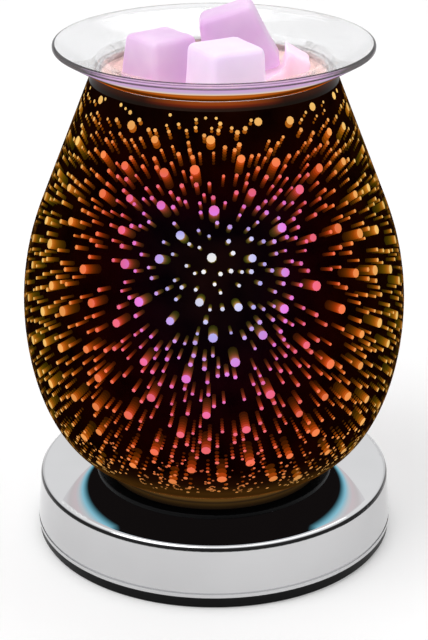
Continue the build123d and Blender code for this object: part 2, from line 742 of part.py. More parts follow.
lean_end = BACK_WAX_PLACE[0] + BACK_WAX_BOTTOM[0] * cos(tilt) + RIGHT_WAX_GAP
toe_drop = RIGHT_WAX_GAP / cos(tilt)

with BuildPart() as wax_melt_right:
    with BuildSketch(Plane.XZ.offset(-RIGHT_WAX_MIDDLE)):
        with BuildLine():
            Polyline(
                (RIGHT_WAX_LEFT, wax_floor),
                (RIGHT_WAX_RIGHT, wax_floor),
                (RIGHT_WAX_RIGHT, wax_floor + RIGHT_WAX_END),
                (lean_end, wax_floor + RIGHT_WAX_CREST),
                (lean_end, wax_floor + (lean_end - BACK_WAX_PLACE[0]) * tan(tilt) - toe_drop),
                (RIGHT_WAX_LEFT, wax_floor + (RIGHT_WAX_LEFT - BACK_WAX_PLACE[0]) * tan(tilt) - toe_drop),
                close=True,
            )
        make_face()
    extrude(amount=RIGHT_WAX_WIDTH / 2, both=True)
    fillet(wax_melt_right.edges(), RIGHT_WAX_ROUND)
wax_melt_right.part.label = "wax_melt_right"
export_step(wax_melt_right.part, "parts/wax_melt_right.step")

# Touch dimmer on a soft pad
dimmer_place = (DIMMER_SHIFT, dimmer_middle)
live_entry = dimmer_left + LIVE_INSET
sense_entry = dimmer_left + SENSE_INSET
switched_entry = dimmer_right - SWITCHED_INSET

with BuildPart() as dimmer_pad:
    with BuildSketch(Plane.XY.offset(floor_level)):
        with Locations(dimmer_place):
            Rectangle(DIMMER_LENGTH - 2 * PAD_MARGIN, DIMMER_WIDTH - 2 * PAD_MARGIN)
    extrude(amount=PAD_HEIGHT)
dimmer_pad.part.label = "dimmer_pad"
export_step(dimmer_pad.part, "parts/dimmer_pad.step")

with BuildPart() as dimmer_case:
    with BuildSketch(Plane.XY.offset(case_foot)):
        with Locations(dimmer_place):
            RectangleRounded(DIMMER_LENGTH, DIMMER_WIDTH, DIMMER_ROUND)
    extrude(amount=DIMMER_HEIGHT)
    with BuildSketch(Plane.XY.offset(case_foot + DIMMER_WALL)):
        with Locations(dimmer_place):
            Rectangle(DIMMER_LENGTH - 2 * DIMMER_WALL, DIMMER_WIDTH - 2 * DIMMER_WALL)
    extrude(amount=DIMMER_HEIGHT - DIMMER_WALL, mode=Mode.SUBTRACT)
    ledge_reach_x = DIMMER_LENGTH - 2 * DIMMER_WALL - LEDGE_SIZE
    ledge_reach_y = DIMMER_WIDTH - 2 * DIMMER_WALL - LEDGE_SIZE
    with BuildSketch(Plane.XY.offset(case_foot + DIMMER_WALL)):
        with Locations(dimmer_place):
            with GridLocations(ledge_reach_x, ledge_reach_y, 2, 2):
                Rectangle(LEDGE_SIZE, LEDGE_SIZE)
    extrude(amount=LEDGE_HEIGHT)
    with BuildSketch(Plane(origin=(0, dimmer_back, dimmer_wire_level), x_dir=(1, 0, 0), z_dir=(0, 1, 0))):
        with Locations(*[(entry, 0) for entry in (live_entry, sense_entry, switched_entry)]):
            Circle(wire_hole_radius)
    extrude(amount=-DIMMER_WALL, mode=Mode.SUBTRACT)
dimmer_case.part.label = "dimmer_case"
export_step(dimmer_case.part, "parts/dimmer_case.step")

with BuildPart() as dimmer_lid:
    with BuildSketch(Plane.XY.offset(case_top)):
        with Locations(dimmer_place):
            RectangleRounded(DIMMER_LENGTH, DIMMER_WIDTH, DIMMER_ROUND)
    extrude(amount=DIMMER_WALL)
dimmer_lid.part.label = "dimmer_lid"
export_step(dimmer_lid.part, "parts/dimmer_lid.step")

with BuildPart() as dimmer_board:
    with BuildSketch(Plane.XY.offset(board_foot)):
        with Locations(dimmer_place):
            Rectangle(board_length, board_width)
    extrude(amount=BOARD_HEIGHT)
dimmer_board.part.label = "dimmer_board"
export_step(dimmer_board.part, "parts/dimmer_board.step")

component_line = dimmer_middle - DIMMER_WIDTH / 2 + DIMMER_WALL + BOARD_CLEARANCE

with BuildPart() as dimmer_triac:
    with BuildSketch(Plane.XY.offset(board_top)):
        with Locations((DIMMER_SHIFT + TRIAC_SHIFT, component_line + TRIAC_SIZE[1] / 2)):
            Rectangle(TRIAC_SIZE[0], TRIAC_SIZE[1])
    extrude(amount=TRIAC_SIZE[2])
dimmer_triac.part.label = "dimmer_triac"
export_step(dimmer_triac.part, "parts/dimmer_triac.step")

with BuildPart() as dimmer_capacitor:
    with BuildSketch(Plane.XY.offset(board_top)):
        with Locations((DIMMER_SHIFT + CAPACITOR_SHIFT, component_line + CAPACITOR_SIZE[1] / 2)):
            RectangleRounded(CAPACITOR_SIZE[0], CAPACITOR_SIZE[1], DIMMER_ROUND)
    extrude(amount=CAPACITOR_SIZE[2])
dimmer_capacitor.part.label = "dimmer_capacitor"
export_step(dimmer_capacitor.part, "parts/dimmer_capacitor.step")

# Terminal block with two poles, held by one screw into the cover's floor
block_place = (BLOCK_SHIFT, block_middle)
clamp_length = BLOCK_SIZE[2] - POLE_RISE - WIRE_RADIUS - THREAD_CLEARANCE
pole_radius = WIRE_RADIUS + WIRE_CLEARANCE

with BuildPart() as terminal_block:
    with BuildSketch(Plane.XY.offset(floor_level)):
        with Locations(block_place):
            RectangleRounded(BLOCK_SIZE[0], BLOCK_SIZE[1], DIMMER_ROUND)
    extrude(amount=BLOCK_SIZE[2])
    with BuildSketch(Plane(origin=(0, block_front, pole_level), x_dir=(1, 0, 0), z_dir=(0, 1, 0))):
        with Locations((live_pole, 0), (neutral_pole, 0)):
            Circle(pole_radius)
    extrude(amount=BLOCK_SIZE[1], mode=Mode.SUBTRACT)
    with BuildSketch(Plane.XY.offset(block_top)):
        with Locations(*clamp_spots):
            Circle(thread_hole_radius)
    extrude(amount=-(BLOCK_SIZE[2] - POLE_RISE), mode=Mode.SUBTRACT)
    with Locations(block_place):
        Hole(screw_hole_radius)
terminal_block.part.label = "terminal_block"
export_step(terminal_block.part, "parts/terminal_block.step")

with BuildPart() as terminal_screws:
    with BuildSketch(Plane.XY.offset(block_top)):
        with Locations(*clamp_spots):
            Circle(SCREW_RADIUS)
    extrude(amount=-clamp_length)
    with BuildSketch(Plane.XY.offset(block_top)):
        with Locations(*clamp_spots):
            Rectangle(2 * SCREW_RADIUS, SCREW_SLOT_WIDTH)
    extrude(amount=-SCREW_SLOT_DEPTH, mode=Mode.SUBTRACT)
terminal_screws.part.label = "terminal_screws"
export_step(terminal_screws.part, "parts/terminal_screws.step")

block_screw = slotted_screws([block_place], block_top, -1, BLOCK_SIZE[2] + COVER_FLOOR)
block_screw.part.label = "block_screw"
export_step(block_screw.part, "parts/block_screw.step")

# Ring lug on the left bracket screw
lug_top = ear_underside
barrel_level = lug_top - LUG_SHEET - LUG_BARREL_DROP
barrel_end = -(LUG_BARREL_START + LUG_BARREL_LENGTH)

with BuildPart() as sense_lug:
    with BuildSketch(Plane.XY.offset(lug_top)):
        with Locations((-ear_hole, 0)):
            Circle(LUG_RADIUS)
        with Locations((-ear_hole, -LUG_BARREL_START / 2)):
            Rectangle(2 * LUG_BARREL_RADIUS, LUG_BARREL_START)
        with Locations((-ear_hole, 0)):
            Circle(screw_hole_radius, mode=Mode.SUBTRACT)
    extrude(amount=-LUG_SHEET)
    with BuildSketch(Plane(origin=(-ear_hole, barrel_end, barrel_level), x_dir=(1, 0, 0), z_dir=(0, 1, 0))):
        Circle(LUG_BARREL_RADIUS)
    extrude(amount=LUG_BARREL_LENGTH + LUG_BARREL_RADIUS / 2)
    with BuildSketch(Plane(origin=(-ear_hole, barrel_end, barrel_level), x_dir=(1, 0, 0), z_dir=(0, 1, 0))):
        Circle(WIRE_RADIUS + THREAD_CLEARANCE)
    extrude(amount=LUG_BARREL_LENGTH, mode=Mode.SUBTRACT)
sense_lug.part.label = "sense_lug"
export_step(sense_lug.part, "parts/sense_lug.step")

# Wires
wire_end_in_case = dimmer_back - WIRE_INSERT
wire_end_in_block = block_front + CLAMP_OFFSET + WIRE_INSERT
wire_end_in_holder = HOLDER_RADIUS - HOLDER_WIRE_DEPTH + WIRE_CLEARANCE
front_aisle = dimmer_back + DIMMER_GAP / 2
rear_aisle = block_front - BLOCK_GAP / 2
side_aisle = -ear_end

live_wire = lead([
    (live_pole, wire_end_in_block, pole_level),
    (live_pole, rear_aisle, pole_level),
    (side_aisle, rear_aisle / 2, dimmer_wire_level),
    (side_aisle, front_aisle / 2, dimmer_wire_level),
    (live_entry, front_aisle, dimmer_wire_level),
    (live_entry, wire_end_in_case, dimmer_wire_level),
])
live_wire.part.label = "live_wire"
export_step(live_wire.part, "parts/live_wire.step")

neutral_wire = lead([
    (neutral_pole, wire_end_in_block, pole_level),
    (neutral_pole, rear_aisle, pole_level),
    (HOLDER_WIRE_PLACE, rear_aisle, holder_wire_level),
    (HOLDER_WIRE_PLACE, wire_end_in_holder, holder_wire_level),
])
neutral_wire.part.label = "neutral_wire"
export_step(neutral_wire.part, "parts/neutral_wire.step")

switched_wire = lead([
    (switched_entry, wire_end_in_case, dimmer_wire_level),
    (switched_entry, front_aisle, dimmer_wire_level),
    (-HOLDER_WIRE_PLACE, front_aisle, holder_wire_level),
    (-HOLDER_WIRE_PLACE, -wire_end_in_holder, holder_wire_level),
])
switched_wire.part.label = "switched_wire"
export_step(switched_wire.part, "parts/switched_wire.step")

sense_wire = lead([
    (sense_entry, wire_end_in_case, dimmer_wire_level),
    (sense_entry, front_aisle, dimmer_wire_level),
    (-ear_hole, front_aisle + WIRE_BEND, barrel_level),
    (-ear_hole, barrel_end + WIRE_INSERT, barrel_level),
])
sense_wire.part.label = "sense_wire"
export_step(sense_wire.part, "parts/sense_wire.step")
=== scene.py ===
"""Looks of the wax melt warmer: chrome drum, coated glass jar with light trails, glass dish and wax melts."""
import json
from math import acos, atan2, cos, hypot, pi, radians, sin, sqrt, tan
from random import Random

import bmesh
import bpy
from mathutils import Matrix, Vector, noise


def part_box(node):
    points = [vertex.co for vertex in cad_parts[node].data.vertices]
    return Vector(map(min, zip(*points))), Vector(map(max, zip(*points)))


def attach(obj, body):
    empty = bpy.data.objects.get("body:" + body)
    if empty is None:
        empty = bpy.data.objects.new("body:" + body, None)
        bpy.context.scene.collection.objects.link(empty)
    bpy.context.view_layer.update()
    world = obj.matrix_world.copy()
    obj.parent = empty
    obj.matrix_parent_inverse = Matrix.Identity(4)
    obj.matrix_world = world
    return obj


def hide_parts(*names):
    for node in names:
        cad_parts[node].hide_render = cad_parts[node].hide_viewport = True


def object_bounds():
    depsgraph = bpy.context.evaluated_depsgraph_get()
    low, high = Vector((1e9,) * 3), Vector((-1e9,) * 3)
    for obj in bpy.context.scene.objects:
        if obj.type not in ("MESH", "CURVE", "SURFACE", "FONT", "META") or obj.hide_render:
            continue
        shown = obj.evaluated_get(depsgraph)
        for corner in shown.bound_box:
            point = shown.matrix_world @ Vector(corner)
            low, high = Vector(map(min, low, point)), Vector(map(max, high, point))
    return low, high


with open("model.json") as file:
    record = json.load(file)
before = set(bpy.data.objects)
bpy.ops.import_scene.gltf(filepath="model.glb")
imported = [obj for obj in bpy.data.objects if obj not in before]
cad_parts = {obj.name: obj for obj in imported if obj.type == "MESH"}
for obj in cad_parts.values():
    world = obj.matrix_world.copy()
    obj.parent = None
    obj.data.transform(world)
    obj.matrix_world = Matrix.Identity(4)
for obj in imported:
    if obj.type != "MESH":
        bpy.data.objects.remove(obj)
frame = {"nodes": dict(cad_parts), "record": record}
cad_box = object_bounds()
nodes = frame["nodes"]

MM = 0.001

# Camera, in metres and degrees; the focal length is in pixels of the 428 x 640 frame
IMAGE_HEIGHT = 640
FOCAL_PIXELS = 1844.3
SENSOR = 36.0
CAMERA_PLACE = (0.0, -0.5587, 0.3119)
CAMERA_PITCH = 66.91

# Jar: the same outline as the solid it stands for, and the levels of its painted foot glow and painted
# underside reflection
NECK_RADIUS = 36.3 * MM
NECK_HEIGHT = 5.9 * MM
NECK_WALL = 2.4 * MM
NECK_ROUND = 2.0 * MM
BOWL_START = 0.65 * MM
LIP_HEIGHT = 3.0 * MM
FOOT_GLOW_TOP = 46.0 * MM
PAINTED_REFLECTION_TOP = 62.0 * MM
PAINTED_REFLECTION_SPAN = 12.0 * MM
BELLY_RISE = 58.1 * MM
BELLY_WALL = 1.8 * MM
UPPER_ARC = 93.5 * MM
MOUTH_RADIUS = 37.8 * MM
MOUTH_WALL = 2.4 * MM
GLASS_ROUND = 0.6 * MM

# Light trails behind the jar's wall
COAT_IOR = 1.45
TRAIL_SEED = 7
DOT_COUNT = 1950
DOT_SPACING = 3.9 * MM
DOT_LOWEST = 37.0 * MM
DOT_HIGHEST = 155.5 * MM
LARGE_SHARE = 0.15
LARGE_SPACING = 9.5 * MM
SMALL_RADII = (0.45 * MM, 0.75 * MM)
LARGE_RADII = (1.15 * MM, 1.55 * MM)
SMALL_FADE = 0.66
LARGE_FADE = 0.72
IMAGE_LOSS = 0.85
DIMMEST = 0.035
SMALL_SIDES = 6
LARGE_SIDES = 10
BEAD_BACK = (0.004, 0.002, 0.002, 1.0)
HEAD_LIGHT = (0.8, 1.0)
CROWDING = 0.35
UPPER_CROWDING = 0.3
PULL_START = 0.4
PULL_SPAN = 20.0 * MM
UPPER_PULL = 0.35
BEAD_THICKNESS = 0.3 * MM
HEAD_DEPTH = 2.2 * MM
BURST_LEVEL = 93.0 * MM
IMAGE_STEP = 0.9
MOUTH_STEP = 1.0
MOUTH_SPAN = 62.0 * MM
FOOT_STEP = 1.3
FOOT_SPAN = 50.0 * MM
UPPER_START = 116.0 * MM
UPPER_BURST_DROP = 10.0 * MM
FLECK_COUNT = 650
FLECK_LOWEST = 34.0 * MM
FLECK_HIGHEST = 55.0 * MM
FLECK_RADII = (0.25 * MM, 0.6 * MM)
FLECK_SIDES = 6
FLECK_LIGHT = (0.3, 1.0)
RING_JITTER = (0.2, 0.8)
RING_GAP = (-0.6, 0.6)
RING_COUNT = 26
RING_LEVEL = 37.0 * MM
RING_WIDTH = 1.0 * MM
RING_HEIGHT = 1.3 * MM
RING_SWEEP = 4.6
RING_BEADS = 9
RING_BEAD_RADIUS = 0.32 * MM
LINER_GAP = 0.4 * MM
LINER_DEPTH = 15.0 * MM
LINER_WALL = 0.5 * MM
LINER_TOP = 157.0 * MM
LINER_FOOT = 32.0 * MM
LINER_NECK = 36.0 * MM
LINER_NECK_LEVEL = 147.0 * MM
LINER_MOUTH_SHARE = 0.26
LINER_MOUTH_SPAN = 30.0 * MM
LINER_FOOT_SPAN = 24.0 * MM
LINER_FOOT_CURVE = 0.7

# Dish: the same outline as the solid it stands for
DISH_RIM_ROUND = 0.8 * MM
DISH_RIM_GLASS = 1.9 * MM
DISH_GLASS = 2.6 * MM
DISH_FLANGE_DROP = 5.4 * MM
WELL_DRAFT = 1.2 * MM
WELL_DEPTH = 9.4 * MM
WELL_ROUND = 3.0 * MM
DISH_CLEARANCE = 0.5 * MM
SEAT_WIDTH = 3.6 * MM
SEAT_RISE = 7.1 * MM

# Wax melts: the same blocks as the solids, softer
WAX_CLEARANCE = 0.3 * MM
WAX_ROUND = 2.4 * MM
WAX_DENT = 0.5 * MM
DENT_SPAN = 7.0 * MM
PIT_SPAN = 2.5 * MM
PIT_SHARE = 0.4
DENT_BASE = 0.45
DENT_SWING = 0.5
LEFT_BOTTOM = (20.0 * MM, 20.0 * MM)
LEFT_TOP = (16.8 * MM, 16.8 * MM)
LEFT_HEIGHT = 19.5 * MM
LEFT_SPOT = (-16.6 * MM, 1.0 * MM)
LEFT_TURN = radians(38)
FRONT_BOTTOM = (20.4 * MM, 20.4 * MM)
FRONT_TOP = (18.6 * MM, 18.6 * MM)
FRONT_HEIGHT = 19.5 * MM
FRONT_SPOT = (3.6 * MM, -12.4 * MM)
FRONT_TURN = radians(28)
BACK_BOTTOM = (25.0 * MM, 18.0 * MM)
BACK_TOP = (17.5 * MM, 15.0 * MM)
BACK_HEIGHT = 22.0 * MM
BACK_SPOT = (-2.0 * MM, 12.4 * MM)
BACK_TILT = radians(18)
LUMP_LEFT = 11.0 * MM
LUMP_RIGHT = 27.5 * MM
LUMP_LEAN = 3.0 * MM
LUMP_CREST = 15.5 * MM
LUMP_END = 10.5 * MM
LUMP_FRONT = -2.0 * MM
LUMP_WIDTH = 12.0 * MM
LUMP_ROUND = 1.4 * MM

# Stage
FLOOR_SIZE = 6.0

# Round pieces
ROUND_SEGMENTS = 192
ON_AXIS = 1e-7

jar_low, jar_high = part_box("glass_jar")
jar_foot = jar_low.z
mouth_level = jar_high.z
belly_radius = min(jar_high.x, jar_high.y)
belly_level = jar_foot + BELLY_RISE
neck_top = jar_foot + NECK_HEIGHT


def wall_outline(belly, arc, mouth, neck, shoulder):
    """Radius of one wall of the jar at a level, as a function."""
    centre = belly - arc
    rise = mouth_level - belly_level
    turn = atan2(rise, mouth - centre) - acos(arc / hypot(mouth - centre, rise))
    join_radius = centre + arc * cos(turn)
    join_level = belly_level + arc * sin(turn)

    def radius(level):
        if level > join_level:
            share = (level - join_level) / (mouth_level - join_level)
            return join_radius + share * (mouth - join_radius)
        if level > belly_level:
            return centre + sqrt(arc ** 2 - (level - belly_level) ** 2)
        if level > shoulder:
            drop = (belly_level - level) / (belly_level - shoulder)
            return neck + (belly - neck) * sqrt(max(0.0, 1 - drop ** 2))
        return neck

    return radius


outer_radius = wall_outline(belly_radius, UPPER_ARC, MOUTH_RADIUS, NECK_RADIUS, neck_top)
inner_radius = wall_outline(
    belly_radius - BELLY_WALL,
    UPPER_ARC - BELLY_WALL,
    MOUTH_RADIUS - MOUTH_WALL,
    NECK_RADIUS - NECK_WALL,
    neck_top + BELLY_WALL,
)


def liner_radius(level):
    """Outer radius of the liner, a dark sheet that stands for shade inside the jar and ends the trails."""
    near_mouth = min(1.0, LINER_MOUTH_SHARE + max(0.0, (LINER_NECK_LEVEL - level) / LINER_MOUTH_SPAN))
    near_foot = min(1.0, max(0.0, (level - LINER_FOOT) / LINER_FOOT_SPAN)) ** LINER_FOOT_CURVE
    radius = inner_radius(level) - LINER_GAP - LINER_DEPTH * min(near_mouth, near_foot)
    if level > LINER_NECK_LEVEL:
        return max(radius, LINER_NECK)
    return radius


def rounded(corners, steps=6):
    """Outline through (radius, level, rounding) corners, each rounding drawn as an arc."""
    outline = []
    count = len(corners)
    for index, (x, z, rounding) in enumerate(corners):
        here = Vector((x, z))
        if rounding == 0:
            outline.append(here)
            continue
        back = Vector(corners[index - 1][:2]) - here
        ahead = Vector(corners[(index + 1) % count][:2]) - here
        back.normalize()
        ahead.normalize()
        half = acos(max(-1.0, min(1.0, back.dot(ahead)))) / 2
        centre = here + (back + ahead).normalized() * (rounding / sin(half))
        first = here + back * (rounding / tan(half)) - centre
        last = here + ahead * (rounding / tan(half)) - centre
        sweep = first.angle_signed(last)
        for step in range(steps + 1):
            outline.append(centre + Matrix.Rotation(-sweep * step / steps, 2) @ first)
    return outline


def new_piece(name, vertices, faces, body, slot, *materials):
    """A smooth mesh object that rides on a body and takes the given finishes; the slot is not used."""
    mesh = bpy.data.meshes.new(name)
    mesh.from_pydata(vertices, [], faces)
    mesh.shade_smooth()
    for finish in materials:
        mesh.materials.append(finish)
    piece = bpy.data.objects.new(name, mesh)
    bpy.context.scene.collection.objects.link(piece)
    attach(piece, body)
    return piece


def revolved(outline, segments=ROUND_SEGMENTS):
    """Vertices and faces of a closed outline turned about the Z axis; points on the axis stay single."""
    vertices = []
    rings = []
    for radius, level in outline:
        if radius < ON_AXIS:
            rings.append([len(vertices)] * segments)
            vertices.append((0.0, 0.0, level))
            continue
        rings.append(list(range(len(vertices), len(vertices) + segments)))
        for step in range(segments):
            angle = 2 * pi * step / segments
            vertices.append((radius * cos(angle), radius * sin(angle), level))
    faces = []
    for index, ring in enumerate(rings):
        after = rings[(index + 1) % len(rings)]
        for step in range(segments):
            turn = (step + 1) % segments
            loop = [ring[step], ring[turn], after[turn], after[step]]
            corners = list(dict.fromkeys(loop))
            if len(corners) > 2:
                faces.append(corners)
    return vertices, faces


def sharpen(piece, degrees=35.0):
    """Marks the edges that turn by more than an angle as sharp."""
    piece.data.set_sharp_from_angle(angle=radians(degrees))


def set_stops(color_ramp, stops):
    """Puts (position, colour) stops on a new colour ramp."""
    while len(color_ramp.elements) < len(stops):
        color_ramp.elements.new(0.5)
    for element, (position, colour) in zip(color_ramp.elements, stops):
        element.position = position
        element.color = (*colour, 1.0)


# Waves per metre along the edge of a band
WOBBLE_SCALE = 70.0


class Finish:
    """A node material: a Principled shader and helpers that add nodes in front of it."""

    def __init__(self, name, **sockets):
        self.material = bpy.data.materials.new(name)
        self.material.use_nodes = True
        self.tree = self.material.node_tree
        self.shader = self.tree.nodes["Principled BSDF"]
        self.output = self.tree.nodes["Material Output"]
        for socket, value in sockets.items():
            self.shader.inputs[socket.replace("_", " ")].default_value = value

    def node(self, kind, settings=None, **sockets):
        """A new node with its settings and socket values."""
        made = self.tree.nodes.new(kind)
        for name, value in (settings or {}).items():
            setattr(made, name, value)
        for socket, value in sockets.items():
            made.inputs[socket.replace("_", " ")].default_value = value
        return made

    def link(self, source, target):
        """A link between two sockets."""
        self.tree.links.new(source, target)

    def place(self):
        """Coordinates in the frame, in metres."""
        return self.node("ShaderNodeTexCoord").outputs["Object"]

    def ramp(self, source, stops):
        """A colour ramp over a value; stops are (position, colour)."""
        made = self.node("ShaderNodeValToRGB")
        set_stops(made.color_ramp, stops)
        self.link(source, made.inputs["Fac"])
        return made.outputs["Color"]

    def noise(self, scale, detail=3.0, roughness=0.55):
        """Noise over the frame's coordinates."""
        made = self.node("ShaderNodeTexNoise", Scale=scale, Detail=detail, Roughness=roughness)
        self.link(self.place(), made.inputs["Vector"])
        return made.outputs["Fac"]

    def height(self, low, high, wobble=0.0):
        """Height in the frame between two levels, as 0 to 1, with a wavy edge."""
        split = self.node("ShaderNodeSeparateXYZ")
        self.link(self.place(), split.inputs["Vector"])
        drift = self.node("ShaderNodeMath", {"operation": "MULTIPLY_ADD"})
        drift.inputs[1].default_value = wobble
        self.link(self.noise(WOBBLE_SCALE), drift.inputs[0])
        self.link(split.outputs["Z"], drift.inputs[2])
        return self.spread(drift.outputs["Value"], low, high)

    def spread(self, source, low, high, first=0.0, last=1.0):
        """A value between low and high, brought to the range from first to last."""
        made = self.node("ShaderNodeMapRange", From_Min=low, From_Max=high, To_Min=first, To_Max=last)
        self.link(source, made.inputs["Value"])
        return made.outputs["Result"]

    def combined(self, operation, first, second):
        """Two values put together by a named operation."""
        made = self.node("ShaderNodeMath", {"operation": operation})
        self.link(first, made.inputs[0])
        self.link(second, made.inputs[1])
        return made.outputs["Value"]

    def raised(self, source, power):
        """A value raised to a power."""
        made = self.node("ShaderNodeMath", {"operation": "POWER"})
        made.inputs[1].default_value = power
        self.link(source, made.inputs[0])
        return made.outputs["Value"]

    def glow(self, colour, strength=None):
        """A light-giving shader with its colour and strength from sockets."""
        made = self.node("ShaderNodeEmission")
        self.link(colour, made.inputs["Color"])
        if strength:
            self.link(strength, made.inputs["Strength"])
        return made.outputs["Emission"]

    def facing(self):
        """How far a face turns from the viewer: 0 face-on, 1 edge-on."""
        return self.node("ShaderNodeLayerWeight", Blend=0.5).outputs["Facing"]

    def mixed(self, share, first, second):
        """Two shaders, the second with the given share."""
        made = self.node("ShaderNodeMixShader")
        self.link(share, made.inputs["Fac"])
        self.link(first, made.inputs[1])
        self.link(second, made.inputs[2])
        return made.outputs["Shader"]

    def show(self, shader):
        """Puts a shader on the surface."""
        self.link(shader, self.output.inputs["Surface"])

    def tinted(self, scale, low, high, detail=3.0):
        """Base colour that drifts between two colours."""
        colour = self.ramp(self.noise(scale, detail), [(0.3, low), (0.7, high)])
        self.link(colour, self.shader.inputs["Base Color"])

    def worn(self, scale, low, high):
        """Roughness that drifts between two values."""
        self.link(self.spread(self.noise(scale), 0.0, 1.0, low, high), self.shader.inputs["Roughness"])

    def bumped(self, scale, distance, strength=0.5, detail=4.0):
        """Fine relief from noise."""
        relief = self.node("ShaderNodeBump", Strength=strength, Distance=distance)
        self.link(self.noise(scale, detail), relief.inputs["Height"])
        self.link(relief.outputs["Normal"], self.shader.inputs["Normal"])


def shade(colour, factor):
    """A colour made lighter or darker, kept within range."""
    return tuple(min(1.0, part * factor) for part in colour[:3])


def plain_finish(slot, colour, roughness, metallic=0.0, grain=1200.0, relief=0.02 * MM, tone=1.0, gloss=0.5):
    """A moulded, cast or plated finish with drifting colour, wear and fine relief."""
    finish = Finish(slot, Metallic=metallic, Specular_IOR_Level=gloss)
    finish.tinted(160.0, shade(colour, 0.86 * tone), shade(colour, 1.12 * tone))
    finish.worn(240.0, roughness * 0.8, min(1.0, roughness * 1.25))
    finish.bumped(grain, relief)
    return finish.material


# Chrome by the upward tilt of its faces: walls and the flat top stay bright, rounded edges get painted dark
# reflections
PAINTED_EDGE_REFLECTIONS = [
    (0.13, (1.00, 1.00, 1.00)),
    (0.20, (0.03, 0.03, 0.03)),
    (0.62, (0.03, 0.03, 0.03)),
    (0.76, (1.00, 1.00, 1.00)),
]


def chrome_finish():
    """Polished chrome with faint smears in its gloss and painted dark reflection lines along its rounded
    edges.
    """
    finish = Finish("chrome", Metallic=1.0)
    smear = finish.ramp(finish.noise(25.0, 2.0), [(0.3, (0.55, 0.552, 0.56)), (0.7, (0.60, 0.602, 0.61))])
    tilt = finish.node("ShaderNodeSeparateXYZ")
    finish.link(finish.node("ShaderNodeTexCoord").outputs["Normal"], tilt.inputs["Vector"])
    # Painted dark reflections: the base colour goes dark where the faces tilt like rounded edges
    edges = finish.ramp(tilt.outputs["Z"], PAINTED_EDGE_REFLECTIONS)
    colour = finish.node("ShaderNodeMix", {"data_type": "RGBA", "blend_type": "MULTIPLY"}, Factor=1.0)
    finish.link(smear, colour.inputs["A"])
    finish.link(edges, colour.inputs["B"])
    finish.link(colour.outputs["Result"], finish.shader.inputs["Base Color"])
    finish.worn(60.0, 0.02, 0.05)
    return finish.material


# Thin glass lets most light straight through
STRAIGHT_SHARE = 0.6
THIN_TINT = (0.95, 0.95, 0.955)


def glass_body(name, tint):
    """A clear glass finish and its shader, which lets light through to what stands in it."""
    finish = Finish(name, Transmission_Weight=1.0, IOR=1.47, Base_Color=(*tint, 1.0))
    finish.worn(90.0, 0.0, 0.015)
    through = finish.node("ShaderNodeBsdfTransparent", Color=(*THIN_TINT, 1.0))
    shadow = finish.node("ShaderNodeLightPath").outputs["Is Shadow Ray"]
    straight = finish.spread(shadow, 0.0, 1.0, STRAIGHT_SHARE, 1.0)
    return finish, finish.mixed(straight, finish.shader.outputs["BSDF"], through.outputs["BSDF"])


def glass_finish(name, tint):
    """Clear glass."""
    finish, glass = glass_body(name, tint)
    finish.show(glass)
    return finish.material


# Painted glow on the dish's underside, from the seat, amber for light from the jar's mouth, to the rim, lilac
# for light from the wax
SEAT_PAINTED_GLOW = [
    (0.00, (0.420, 0.075, 0.004)),
    (0.26, (0.480, 0.090, 0.005)),
    (0.40, (0.500, 0.105, 0.008)),
    (0.50, (0.340, 0.090, 0.012)),
    (0.56, (0.850, 0.620, 0.360)),
    (0.62, (0.620, 0.520, 0.560)),
    (0.74, (0.560, 0.400, 0.600)),
    (0.90, (0.600, 0.370, 0.640)),
    (1.00, (0.260, 0.130, 0.290)),
]
SEAT_FACING = (0.93, 0.975)
SEAT_DIMMED = 0.2
SEAT_WOBBLE = 0.5 * MM


def seat_finish(tint):
    """The dish's underside: a painted amber glow from the jar's mouth when seen from below, clear from above.
    """
    finish, glass = glass_body("dish_seat", tint)
    rise = finish.height(mouth_level, mouth_level + SEAT_RISE, SEAT_WOBBLE)
    strength = finish.spread(finish.facing(), *SEAT_FACING, 1.0, SEAT_DIMMED)
    # Painted glow: amber and lilac light given off by the underside
    painted_amber = finish.glow(finish.ramp(rise, SEAT_PAINTED_GLOW), strength)
    side = finish.node("ShaderNodeNewGeometry").outputs["Backfacing"]
    finish.show(finish.mixed(side, painted_amber, glass))
    return finish.material


# Painted reflection lines in the dish's outer edge, from its lower to its upper corner, and its painted shade
# as it turns away
RIM_PAINTED_LINES = [
    (0.00, (0.50, 0.46, 0.50)),
    (0.14, (0.09, 0.03, 0.12)),
    (0.28, (0.72, 0.50, 0.76)),
    (0.44, (0.62, 0.38, 0.68)),
    (0.54, (0.10, 0.04, 0.13)),
    (0.66, (0.72, 0.50, 0.76)),
    (0.82, (0.14, 0.07, 0.17)),
    (0.94, (0.80, 0.68, 0.82)),
]
RIM_PAINTED_SHADES = [
    (0.40, (0.012, 0.010, 0.012)),
    (0.72, (0.030, 0.027, 0.030)),
    (0.95, (0.300, 0.290, 0.300)),
]
RIM_FACING = (0.22, 0.42)
RIM_SHARE = 0.85


def rim_finish(tint):
    """The dish's outer edge: painted lilac reflection lines face-on and painted dark shade where it is seen
    along its length.
    """
    finish, glass = glass_body("dish_rim", tint)
    # Painted reflection lines and painted dark shade, given off as light
    painted_lines = finish.glow(finish.ramp(finish.height(rim_level - DISH_RIM_GLASS, rim_level), RIM_PAINTED_LINES))
    facing = finish.facing()
    painted_dark = finish.glow(finish.ramp(facing, RIM_PAINTED_SHADES))
    edge = finish.mixed(finish.spread(facing, *RIM_FACING), painted_lines, painted_dark)
    side = finish.node("ShaderNodeNewGeometry").outputs["Backfacing"]
    finish.show(finish.mixed(finish.spread(side, 0.0, 1.0, RIM_SHARE, 0.0), glass, edge))
    return finish.material


